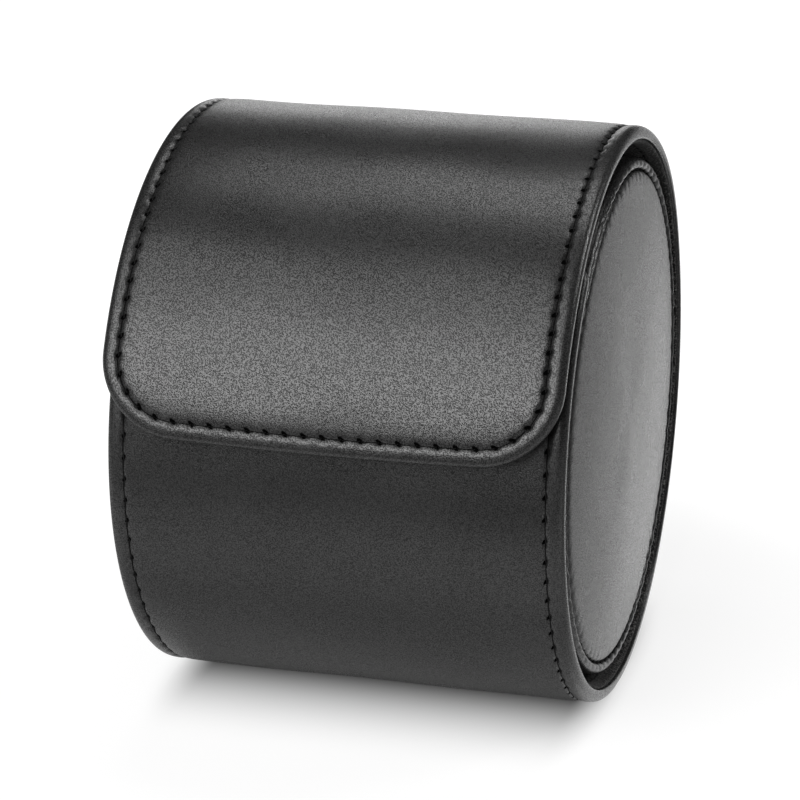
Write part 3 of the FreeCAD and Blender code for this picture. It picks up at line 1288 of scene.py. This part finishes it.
@dataclass
class Wrap:
    """Leather wrap of the roll with its lining: the shell, the bend strip and the flap."""

    line: WrapLine
    leather: bpy.types.Material
    shell_leather: bpy.types.Material
    suede: bpy.types.Material
    sewing: Sewing
    flap_corner: float = 12.0
    wall_corner: float = 3.2
    flap_bow: float = 0.9
    flap_spring: float = 0.5
    flap_stitch: float = 2.95
    shell_stitch: float = 3.5
    thread_lift: float = -0.24
    inner_thread_lift: float = -2.93
    plain_columns: int = 3
    shell_grading: tuple[float, ...] = (0.4, 0.9, 1.7, 2.8, 4.2)

    def __post_init__(self) -> None:
        """Lay out the three sheets and their stitches."""
        low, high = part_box("shell_leather")
        half_width = (high.x - low.x) / 2 / MM
        line = self.line
        flap_end, shell_end = line.run_at(line.flap_root), line.run_at(line.shell_root)
        wall_end, strip = line.run_at(line.wall_edge), shell_end - flap_end
        flap_seam = self.seam_length(half_width, self.flap_corner, flap_end)
        flap_row = Seam(flap_seam / round(flap_seam / self.flap_stitch), 0.0)
        self.strip_stitches = math.ceil(strip / flap_row.pitch)
        shell_first = flap_seam + self.strip_stitches * flap_row.pitch
        shell_last = flap_seam + strip + self.seam_length(half_width, self.wall_corner, wall_end - shell_end)
        rest = shell_last - shell_first
        shell_row = Seam(rest / round(rest / self.shell_stitch), shell_first)
        self.flap_seam, self.shell_first, self.shell_last = flap_seam, shell_first, shell_last
        self.flap = Sheet(line, 0.0, flap_end, half_width, self.flap_corner, flap_row, 0.0,
                          bow=self.flap_bow, spring=self.flap_spring)
        self.strip = Sheet(line, flap_end, shell_end, half_width, 0.0, flap_row, flap_seam,
                           column_steps=self.plain_columns)
        self.shell = Sheet(line, wall_end, shell_end, half_width, self.wall_corner, shell_row, shell_last,
                           column_steps=self.plain_columns, grading=self.shell_grading)

    @staticmethod
    def seam_length(half_width: float, corner: float, length: float) -> float:
        """Length of the sewn line from the middle of a sheet's free end round a corner to its root.

        Args:
            half_width: Half of the sheet's width.
            corner: Radius of the corner.
            length: Length of the sheet.

        Returns:
            Length in millimetres.
        """
        bend = (corner - LEATHER_SECTION.seam) * QUARTER_TURN
        return half_width - corner + bend + length - corner

    def blend(self, piece: bpy.types.Object) -> None:
        """Bake the place of a piece of the bend strip, between the shell and the flap, into its mesh.

        Args:
            piece: Leather, lining or stitches of the strip.
        """
        line = self.line
        deep = np.array(LINING_SECTION.inner[-1][1])
        ends = [line.place(np.array(0.0), np.array(line.run_at(angle)), deep) * MM
                for angle in (line.shell_root, line.flap_root)]
        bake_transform(piece)

    def build(self) -> list[bpy.types.Object]:
        """Build and dress the leather, the lining and the stitches.

        Returns:
            All pieces of the wrap.
        """
        made = []
        sheets = {"shell": self.shell, "flap": self.flap, "hinge": self.strip}
        for place, sheet in sheets.items():
            leather = self.shell_leather if sheet is self.shell else self.leather
            layers = {"leather": (LEATHER_SECTION, leather, Slot.LEATHER),
                      "lining": (LINING_SECTION, self.suede, Slot.SUEDE)}
            for layer, (section, finish, slot) in layers.items():
                piece = sheet.build(f"{place}_{layer}_skin", section, finish)
                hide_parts(f"{place}_{layer}")
                made.append((sheet, place, piece))
            made.append((sheet, place, self.stitches(place, sheet)))
        for sheet, place, piece in made:
            if sheet is self.strip:
                self.blend(piece)
            else:
                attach(piece, place)
        return [piece for _, _, piece in made]

    def stitches(self, place: str, sheet: Sheet) -> bpy.types.Object:
        """Sew one sheet, outside and inside.

        Args:
            place: Name of the sheet.
            sheet: Sheet that is sewn.

        Returns:
            Object with the stitches.
        """
        pitch, half = sheet.seam.pitch, sheet.seam.pitch / 2
        spans = {"flap": (half, self.flap_seam - half),
                 "shell": (self.shell_first + half, self.shell_last - half),
                 "hinge": (self.flap_seam + half, self.flap_seam + (self.strip_stitches - 0.5) * pitch)}
        first, last = spans[place]
        lines = []
        for lift, face in ((self.thread_lift, Face.OUTER), (self.inner_thread_lift, Face.INNER)):
            for side in End:
                line, facing = sheet.sewn_path(LEATHER_SECTION.seam, first, last, lift, side)
                lines.append((line, facing * face.value))
        piece = self.sewing.row(f"{place}_stitches", lines, pitch)
        return piece


# Insert of discs, cradle and pillow


@dataclass
class EndDisc:
    """Padded leather disc that closes one end of the roll.

    The sides of its sewn channel are pairs of distance inside the seam and drop below the face, the bead
    outside it pairs of share of the margin and drop, and the facing's round edge pairs of inset and rise.
    """

    end: End
    leather: bpy.types.Material
    suede: bpy.types.Material
    sewing: Sewing
    swell: float = 0.35
    seam_margin: float = 1.9
    stitch: float = 2.95
    steps_per_stitch: int = 6
    crown: float = 0.75
    crown_fall: float = 1.1
    crown_shares: tuple[float, ...] = (0.03, 0.2, 0.4, 0.56, 0.7, 0.8, 0.87, 0.92)
    channel: float = 0.96
    channel_side: tuple[tuple[float, float], ...] = (
        (2.0, 0.23), (1.3, 0.28), (0.8, 0.36), (0.45, 0.52), (0.2, 0.78))
    bead: tuple[tuple[float, float], ...] = (
        (0.08, 0.8), (0.18, 0.52), (0.33, 0.32), (0.5, 0.25), (0.67, 0.34), (0.81, 0.58), (0.92, 0.92),
        (0.97, 1.3), (1.0, 1.8))
    back_inset: float = 0.25
    back_rise: float = 0.3
    top_depth: float = 2.2
    # Span of the bead's edge mask, which makes it glossier and paints it lighter as a highlight
    burnish_and_highlight_span: tuple[float, float] = (1.2, 2.3)
    pit_depth: float = 0.16
    pit_reach: float = 0.45
    pucker: float = 0.14
    pucker_spread: tuple[float, float] = (0.3, 1.6)
    pucker_place: float = 0.9
    outer_pucker_reach: float = 0.7
    inner_pucker_reach: float = 0.8
    inner_pucker_share: float = 0.6
    wave: float = 0.06
    wave_count: int = 3
    wave_phase: float = 0.4
    middle: float = 0.5
    facing_thickness: float = 0.8
    facing_bevel: float = 0.1
    facing_round: tuple[tuple[float, float], ...] = ((0.0, 0.4), (0.12, 0.14), (0.4, 0.0))
    facing_ring_shares: tuple[float, ...] = (0.8, 0.5)
    facing_sides: int = 180
    thread_lift: float = 0.05
    thread_steps: int = 720
    seed: int = 3

    def __post_init__(self) -> None:
        """Read the disc's place from its leather, its lining and its board."""
        self.name = self.end.name.lower()
        low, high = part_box(f"{self.name}_disc_leather")
        inner_low, inner_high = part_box(f"{self.name}_disc_lining")
        board_low, board_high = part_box(f"{self.name}_disc_board")
        self.radius = (high.z - low.z) / 2 / MM + self.swell
        self.height = (high.z + low.z) / 2 / MM
        self.face = max(abs(high.x), abs(low.x)) / MM
        self.back = min(abs(high.x), abs(low.x)) / MM
        self.plate_radius = (inner_high.z - inner_low.z) / 2 / MM
        self.plate_face = max(abs(board_high.x), abs(board_low.x)) / MM
        self.seam_radius = self.radius - self.seam_margin
        self.count = round(FULL_TURN * self.seam_radius / self.stitch)

    def turned(self, radius: np.ndarray, along: np.ndarray, angle: np.ndarray) -> np.ndarray:
        """Points round the disc's centre line, with the coordinates last."""
        across, up = radius * np.cos(angle), self.height + radius * np.sin(angle)
        return np.stack(np.broadcast_arrays(self.end.value * along, across, up), axis=-1)

    def build(self) -> list[bpy.types.Object]:
        """Build and dress the cover, its stitches and the inner facing.

        Returns:
            All pieces of the disc.
        """
        cover, facing = self.cover(), self.facing()
        angle = np.linspace(0, FULL_TURN, self.thread_steps, endpoint=False) + math.pi / self.count
        seam_along = self.face - self.channel + self.thread_lift
        line = self.turned(np.array(self.seam_radius), np.array(seam_along), angle)
        way = np.tile((float(self.end.value), 0.0, 0.0), (len(angle), 1))
        pitch = FULL_TURN * self.seam_radius / self.count
        thread = self.sewing.row(f"{self.name}_disc_stitches", [(line, way)], pitch, closed=True)
        for piece in (cover, facing, thread):
            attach(piece, Body.INSERT.value)
        return [cover, facing, thread]

    def cover_section(self) -> np.ndarray:
        """Outer line of the cover, from the middle to the back of the rim.

        Returns:
            Pairs of radius and place along the tube.
        """
        seam, face = self.seam_radius, self.face
        line = [(share * seam, face + self.crown - self.crown_fall * share ** 2)
                for share in self.crown_shares]
        line += [(seam - inside, face - drop) for inside, drop in self.channel_side]
        line += [(seam, face - self.channel)]
        line += [(seam + share * self.seam_margin, face - drop) for share, drop in self.bead]
        line += [(self.radius, self.back + self.back_rise), (self.radius - self.back_inset, self.back)]
        return np.array(line)

    def drape(self, radius: np.ndarray, angle: np.ndarray) -> np.ndarray:
        """Rise of the cover's leather in soft waves, less its pits and puckers along the seam.

        Args:
            radius: Distances from the middle, one to a row.
            angle: Angles round the disc.

        Returns:
            Rises in millimetres.
        """
        away, hole = radius - self.seam_radius, near_hole(angle * self.count)
        chance = np.random.default_rng(self.seed)
        loose = chance.uniform(*self.pucker_spread, (2, self.count))
        loose = np.repeat(loose, self.steps_per_stitch, axis=1)
        loose = np.roll(loose, -self.steps_per_stitch // 2, axis=1)
        pit = self.pit_depth * hole * np.exp(-(away / self.pit_reach) ** 2)
        outside = np.exp(-((away - self.pucker_place) / self.outer_pucker_reach) ** 2)
        inside = np.exp(-((away + self.pucker_place) / self.inner_pucker_reach) ** 2)
        fold = self.pucker * hole * (loose[0] * outside + loose[1] * inside * self.inner_pucker_share)
        arch = np.sin(math.pi * np.clip(radius / self.seam_radius, 0, 1))
        return self.wave * np.sin(self.wave_count * angle + self.wave_phase) * arch - pit - fold

    def cover(self) -> bpy.types.Object:
        """Leather cover with its padding, drawn down by the seam.

        Returns:
            The cover.
        """
        piece = Piece(f"{self.name}_disc_cover")
        radius, along = np.split(self.cover_section(), 2, axis=1)
        angle = np.linspace(0, FULL_TURN, self.count * self.steps_per_stitch, endpoint=False)
        away, on_top = radius - self.seam_radius, along > self.face - self.top_depth
        outer = self.turned(radius, along + self.drape(radius, angle) * on_top, angle)
        back = np.array([(self.plate_radius, self.back), (self.plate_radius, self.plate_face),
                         (self.middle, self.plate_face)])
        inner = self.turned(back[:, :1], back[:, 1:], angle)
        beside = np.concatenate([np.where(on_top, away, -UNSEWN), np.full((len(back), 1), -UNSEWN)])
        edge = np.concatenate([ease(away, *self.burnish_and_highlight_span) * on_top, np.zeros((len(back), 1))])
        numbers = piece.add(np.concatenate([outer, inner]), sewn_values(angle * self.count, beside, edge))
        piece.tube(numbers)
        made = piece.build(self.leather)
        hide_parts(f"{self.name}_disc_leather", f"{self.name}_disc_pad")
        return made

    def facing(self) -> bpy.types.Object:
        """Suede facing on the disc's inner side.

        Returns:
            The facing.
        """
        piece = Piece(f"{self.name}_disc_facing")
        rim, top, low = self.plate_radius, self.back + self.facing_thickness, self.back
        line = [(self.middle, top), (rim - self.facing_bevel, top), (rim, top - self.facing_bevel)]
        line += [(rim - inset, low + rise) for inset, rise in self.facing_round]
        line += [(rim * share, low) for share in self.facing_ring_shares]
        radius, along = np.split(np.array(line + [(self.middle, low)]), 2, axis=1)
        angle = np.linspace(0, FULL_TURN, self.facing_sides, endpoint=False)
        piece.tube(piece.add(self.turned(radius, along, angle), {"beside": np.array(UNSEWN)}))
        made = piece.build(self.suede)
        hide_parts(f"{self.name}_disc_lining")
        return made


@dataclass
class Cradle:
    """Suede bed of the cradle that joins the two discs under the pillow."""

    suede: bpy.types.Material
    line: WrapLine
    half_angle: float = 48.0
    thickness: float = 1.0
    roll: float = 0.35
    roll_share: float = 0.3
    inner_share: float = 0.95
    under_steps: int = 30
    bed_steps: int = 60
    rows: int = 40

    def build(self) -> bpy.types.Object:
        """Build and dress the bed.

        Returns:
            The bed.
        """
        low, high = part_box("cradle_lining")
        axis = self.line.axis_height
        half_length, under = high.x / MM, axis - low.z / MM
        bed, turn = under - self.thickness, math.radians(self.half_angle)
        slack, reach = self.roll / under, self.inner_share
        side = [(turn, under), (turn, bed + self.roll),
                (turn - slack * self.roll_share, bed + self.roll * self.roll_share), (turn - slack, bed)]
        other_side = [(-angle, radius) for angle, radius in side]
        below = [(share * turn, under) for share in np.linspace(-reach, reach, self.under_steps)]
        above = [(share * (turn - slack), bed) for share in np.linspace(reach, -reach, self.bed_steps)]
        section = np.array(other_side[:1] + below + side + above + other_side[:0:-1])
        angle, radius = section[:, 0], section[:, 1]
        along = np.linspace(-half_length, half_length, self.rows)[:, None]
        across, up = radius * np.sin(angle), axis - radius * np.cos(angle)
        places = np.stack(np.broadcast_arrays(along, across, up), axis=-1)
        piece = Piece("cradle_bed")
        piece.tube(piece.add(places, {"beside": np.array(UNSEWN)}))
        made = piece.build(self.suede)
        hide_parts("cradle_lining")
        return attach(made, Body.INSERT.value)


@dataclass
class Pillow:
    """Suede pillow that a watch is strapped round."""

    suede: bpy.types.Material
    shrink: float = 1.6
    swell: float = 2.2
    squareness: float = 2.5
    draw_in: float = 0.84
    draw_power: float = 4.0
    sides: int = 96
    rows: int = 41
    voxel: float = 4.0
    pressure: float = 4.0
    frames: int = 20

    def __post_init__(self) -> None:
        """Read the pillow's place from its cover."""
        low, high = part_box("pillow_cover")
        self.half = np.array((high - low) / 2) / MM
        self.centre = np.array((high + low) / 2) / MM

    def rounded(self, wave: np.ndarray, half: float) -> np.ndarray:
        """Places on the pillow's squarish outline for a sine or cosine wave."""
        return np.sign(wave) * np.abs(wave) ** (2 / self.squareness) * (half - self.shrink)

    def form(self, name: str) -> bpy.types.Object:
        """Crowned form of the pillow before it is filled.

        Args:
            name: Name of the piece.

        Returns:
            The form.
        """
        angle = np.linspace(0, FULL_TURN, self.sides, endpoint=False)
        places = np.sin(np.linspace(-1.0, 1.0, self.rows) * QUARTER_TURN)[:, None]
        size = self.draw_in + (1 - self.draw_in) * np.sqrt(1 - np.abs(places) ** self.draw_power)
        along = places * (self.half[0] - self.shrink / 2)
        across, up = self.rounded(np.cos(angle), self.half[1]), self.rounded(np.sin(angle), self.half[2])
        points = np.stack(np.broadcast_arrays(along, size * across, size * up), axis=-1) + self.centre
        piece = Piece(name)
        piece.tube(piece.add(points, {"beside": np.array(UNSEWN)}))
        return piece.build(self.suede)

    def fill(self, form: bpy.types.Object) -> bpy.types.Object:
        """Swell the form by cloth simulation under inner pressure.

        Args:
            form: Closed form of the pillow.

        Returns:
            The filled pillow.
        """
        remesh = form.modifiers.new("even_cloth", "REMESH")
        remesh.mode = "VOXEL"
        remesh.voxel_size = self.voxel * MM
        start = plain_mesh(form)
        cloth = placed("pillow_cloth", start)
        bpy.data.objects.remove(form)
        rest = np.array([vertex.co for vertex in start.vertices])
        physics = cloth.modifiers.new("filling", "CLOTH")
        physics.settings.use_pressure = True
        physics.settings.uniform_pressure_force = self.pressure
        physics.settings.effector_weights.gravity = 0.0
        physics.point_cache.frame_start, physics.point_cache.frame_end = 1, self.frames
        for number in range(1, self.frames + 1):
            bpy.context.scene.frame_set(number)
        filled = plain_mesh(cloth)
        bpy.data.objects.remove(cloth)
        bpy.context.scene.frame_set(1)
        moved = np.array([vertex.co for vertex in filled.vertices]) - rest
        length = np.maximum(np.linalg.norm(moved, axis=1, keepdims=True), MERGE_DISTANCE)
        capped = rest + moved * np.minimum(1.0, self.swell * MM / length)
        low, high = (self.centre - self.half) * MM, (self.centre + self.half) * MM
        filled.vertices.foreach_set("co", np.clip(capped, low, high).astype(np.float32).ravel())
        pillow = shown(filled, "pillow_cushion", self.suede)
        smooth = pillow.modifiers.new("soft", "SUBSURF")
        smooth.levels = smooth.render_levels = 1
        return pillow

    def build(self) -> bpy.types.Object:
        """Build and dress the pillow.

        Returns:
            The pillow.
        """
        pillow = self.form("pillow_cushion")
        pillow = self.fill(pillow)
        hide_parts("pillow_cover", "pillow_core", "pillow_left_cap", "pillow_right_cap")
        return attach(pillow, Body.INSERT.value)


# Studio


def direction(azimuth: float, elevation: float) -> Vector:
    """Direction from the roll, with azimuth 0 in front and rising to its right, in degrees."""
    turn, rise = math.radians(azimuth), math.radians(elevation)
    return Vector((math.sin(turn) * math.cos(rise), -math.cos(turn) * math.cos(rise), math.sin(rise)))


@dataclass(frozen=True)
class SoftLamp:
    """Oblong soft lamp, by its direction from the roll, its distance, its size and its brightness."""

    name: str
    azimuth: float
    elevation: float
    distance: float
    width: float
    height: float
    brightness: float

    def hang(self, target: Vector) -> None:
        """Hang the lamp so that it faces the roll.

        Args:
            target: Point that the lamp faces.
        """
        data = bpy.data.lights.new(self.name, "AREA")
        data.shape, data.size, data.size_y = "RECTANGLE", self.width, self.height
        data.energy = self.brightness * self.width * self.height * math.pi
        lamp = placed(self.name, data)
        away = direction(self.azimuth, self.elevation)
        lamp.location = target + away * self.distance
        lamp.rotation_euler = away.to_track_quat("Z", "Y").to_euler()


@dataclass(frozen=True)
class WhiteFloor:
    """White floor that clears to white away from the roll, is shaded at its foot and mirrors in its sides.

    Places are in metres from the middle of the roll's foot, and a span is the two ends of a smooth step.
    """

    name: str = "white_floor"
    level: float = 0.3
    fleck: float = 0.4
    fleck_share: float = 1.02
    foot: tuple[float, float] = (0.030, 0.008)
    shade_reach: tuple[float, float] = (0.009, 0.034)
    shade_curve: float = 1.5
    shade_depth: float = 0.9
    shade_power: float = 4.0
    near_glow: float = 0.8
    far_glow: float = 1.0
    far_span: tuple[float, float] = (0.06, 0.13)
    disc_place: float = 0.036
    disc_side_span: tuple[float, float] = (0.030, 0.037)
    disc_front_span: tuple[float, float] = (-0.06, -0.02)
    disc_back_span: tuple[float, float] = (0.02, 0.08)
    disc_glow: float = 0.58
    disc_far_glow: float = 0.24
    disc_glow_span: tuple[float, float] = (0.04, 0.11)
    disc_lean: float = 8.5
    disc_lean_limit: float = 0.04
    disc_lean_slope: float = 3.6
    disc_fall: float = 0.3
    disc_fall_span: tuple[float, float] = (0.074, 0.092)
    disc_foot_glow: float = 0.16
    disc_foot_span: tuple[float, float] = (0.038, 0.052)
    wall_glow: float = 0.62
    wall_glow_span: tuple[float, float] = (-0.15, -0.085)
    wall_far_glow: float = 0.42
    wall_far_span: tuple[float, float] = (-0.26, -0.18)
    wall_foot_dimming: float = 0.5
    wall_foot_span: tuple[float, float] = (-0.062, -0.045)
    wall_end_span: tuple[float, float] = (-0.02, 0.0)

    def nearness(self, axes: Sequence[Signal]) -> Signal:
        """Nearness to the roll's foot.

        Args:
            axes: Coordinates on the floor.

        Returns:
            Signal that is 1 under the roll and 0 beyond the shade's reach.
        """
        beyond = [(axis.maths("ABSOLUTE") - foot).maths("MAXIMUM") * (1 / reach)
                  for axis, foot, reach in zip(axes, self.foot, self.shade_reach)]
        distance = (beyond[0] * beyond[0] + beyond[1] * beyond[1]).maths("SQRT")
        return (1 - distance).maths("MAXIMUM")

    def seen(self, axes: Sequence[Signal], near: Signal) -> Signal:
        """Light of the floor that the camera sees.

        Args:
            axes: Coordinates on the floor.
            near: Nearness to the roll's foot.

        Returns:
            Signal that rises from the shade to white.
        """
        far = (axes[0] * axes[0] + axes[1] * axes[1]).ramp(*(reach ** 2 for reach in self.far_span))
        open_air = (1 - near * near).maths("POWER", self.shade_curve)
        return open_air * self.near_glow + far * (self.far_glow - self.near_glow)

    def mirrored_in_disc(self, axes: Sequence[Signal]) -> Signal:
        """Light of the floor beside and behind the roll, which the end disc mirrors.

        Args:
            axes: Coordinates on the floor.

        Returns:
            Signal of the light.
        """
        across = axes[1] - (axes[0] - self.disc_place) * self.disc_lean_slope
        kept = across.maths("MAXIMUM", -self.disc_lean_limit).maths("MINIMUM", self.disc_lean_limit)
        beside = axes[0].ramp(*self.disc_side_span) * axes[1].ramp(*self.disc_front_span)
        behind = beside.maths("MAXIMUM", axes[1].ramp(*self.disc_back_span))
        faded = axes[0].ramp(*self.disc_glow_span) * (self.disc_far_glow - self.disc_glow)
        light = (self.disc_glow + faded + kept * self.disc_lean) * behind
        light = light * (1 - axes[0].ramp(*self.disc_fall_span) * self.disc_fall)
        return light + (1 - axes[0].ramp(*self.disc_foot_span)) * beside * self.disc_foot_glow

    def mirrored_in_wall(self, axes: Sequence[Signal]) -> Signal:
        """Light of the floor before the roll, which the front wall mirrors.

        Args:
            axes: Coordinates on the floor.

        Returns:
            Signal of the light.
        """
        light = axes[1].ramp(*self.wall_glow_span) * self.wall_glow
        light = light + (1 - axes[1].ramp(*self.wall_far_span)) * self.wall_far_glow
        light = light * (1 - axes[1].ramp(*self.wall_foot_span) * self.wall_foot_dimming)
        return light * (1 - axes[1].ramp(*self.wall_end_span))

    def make(self) -> bpy.types.Material:
        """Build the material from its shade and its light.

        Returns:
            The finished material.
        """
        shader = Shader(self.name)
        where = shader.node("ShaderNodeTexCoord", {}, {}).outputs["Object"]
        parts = shader.node("ShaderNodeSeparateXYZ", {}, {"Vector": where}).outputs
        axes = [Signal(shader, part) for part in parts]
        near = self.nearness(axes)
        mirrored = self.mirrored_in_disc(axes).maths("MAXIMUM", self.mirrored_in_wall(axes) * (1 - near))
        rays = shader.node("ShaderNodeLightPath", {}, {}).outputs
        to_camera, glossy, through = (Signal(shader, rays[f"Is {kind} Ray"])
                                      for kind in ("Camera", "Glossy", "Transmission"))
        glow = to_camera * self.seen(axes, near) + (glossy + through) * mirrored
        flecks = shader.noise(where, self.fleck)
        pale = shader.mix(flecks, grey(self.level), grey(self.level * self.fleck_share))
        shade = near.maths("POWER", self.shade_power) * self.shade_depth
        matt = shader.node("ShaderNodeBsdfDiffuse", {}, {"Color": shader.mix(shade, pale, grey(0.0))})
        light = shader.node("ShaderNodeEmission", {}, {"Strength": glow})
        both = shader.node("ShaderNodeAddShader", {}, {0: matt.outputs["BSDF"], 1: light.outputs["Emission"]})
        shader.node("ShaderNodeOutputMaterial", {}, {"Surface": both.outputs["Shader"]})
        return shader.material


@dataclass(frozen=True)
class Studio:
    """White floor, soft lamps and the camera, whose focal length and centre are in pixels."""

    target: Vector
    azimuth: float = 15.483
    elevation: float = 18.47
    distance: float = 0.5578
    focal: float = 3443.0
    centre: tuple[float, float] = (410.62, 401.92)
    sensor: float = 36.0
    clipping: tuple[float, float] = (0.01, 50.0)
    floor_half: float = 6.0
    floor_drop: float = 0.0001
    ambient: float = 0.04
    lamps: tuple[SoftLamp, ...] = (
        SoftLamp("low_front_lamp", -15.5, 19.8, 1.0, 0.8, 0.18, 7.2),
        SoftLamp("front_lamp", -18.0, 35.6, 1.0, 0.8, 0.34, 4.5),
        SoftLamp("high_front_lamp", -27.0, 57.0, 1.0, 0.8, 0.42, 2.4),
        SoftLamp("top_lamp", 172.0, 76.0, 0.4, 0.3, 0.16, 2.75),
        SoftLamp("back_lamp", 195.0, 17.0, 0.4, 0.14, 0.11, 1.4),
        SoftLamp("side_lamp", 115.0, 28.0, 0.7, 0.14, 0.3, 8.0),
    )

    def build(self) -> None:
        """Build the whole studio."""
        self.floor()
        self.world()
        for lamp in self.lamps:
            lamp.hang(self.target)
        self.camera()
        bpy.context.scene.view_settings.view_transform = "Standard"

    def floor(self) -> None:
        """Wide floor just under the roll."""
        mesh = bpy.data.meshes.new("floor")
        signs = ((-1, -1), (1, -1), (1, 1), (-1, 1))
        corners = [(x * self.floor_half, y * self.floor_half, -self.floor_drop) for x, y in signs]
        mesh.from_pydata(corners, [], [range(len(corners))])
        mesh.materials.append(WhiteFloor().make())
        placed("floor", mesh)

    def world(self) -> None:
        """Even dim light from all round."""
        world = bpy.data.worlds.new("studio_room")
        world.use_nodes = True
        background = world.node_tree.nodes["Background"]
        background.inputs["Color"].default_value = grey(1.0)
        background.inputs["Strength"].default_value = self.ambient
        bpy.context.scene.world = world

    def camera(self) -> None:
        """Camera at the photograph's angle and framing."""
        data = bpy.data.cameras.new("camera")
        data.sensor_width = self.sensor
        data.lens = self.sensor * self.focal / PICTURE_SIDE
        data.shift_x = 0.5 - self.centre[0] / PICTURE_SIDE
        data.shift_y = self.centre[1] / PICTURE_SIDE - 0.5
        data.clip_start, data.clip_end = self.clipping
        camera = placed("camera", data)
        away = direction(self.azimuth, self.elevation)
        camera.location = self.target + away * self.distance
        camera.rotation_mode = "QUATERNION"
        camera.rotation_quaternion = away.to_track_quat("Z", "Y")
        bpy.context.scene.camera = camera


def dress_inner_parts(board: bpy.types.Material, plating: bpy.types.Material) -> None:
    """Give the boards and the magnets of the frame their finishes.

    Args:
        board: Material of the boards.
        plating: Material of the magnets.
    """
    for name, node in frame["nodes"].items():
        if name.endswith("_board") or "_magnet_" in name:
            node.data.materials.clear()
            node.data.materials.append(board if name.endswith("_board") else plating)
            log.info("dressed %s", name)


def main() -> None:
    """Build the roll piece by piece, then the studio."""
    logging.basicConfig(level=logging.INFO, format="%(message)s")
    suede, disc_leather = Suede().make(), DISC_LEATHER.make()
    sewing = Sewing(SewingThread().make())
    line = WrapLine.from_frame()
    pieces = Wrap(line, FLAP_LEATHER.make(), SHELL_LEATHER.make(), suede, sewing).build()
    for end in End:
        pieces += EndDisc(end, disc_leather, suede, sewing).build()
    pieces += [Cradle(suede, line).build(), Pillow(suede).build()]
    dress_inner_parts(FibreBoard().make(), PlatedMagnet().make())
    for piece in pieces:
        log.info("built %s with %d faces", piece.name, len(piece.data.polygons))
    Studio(Vector((0.0, 0.0, line.axis_height * MM))).build()


if __name__ == "__main__":
    main()
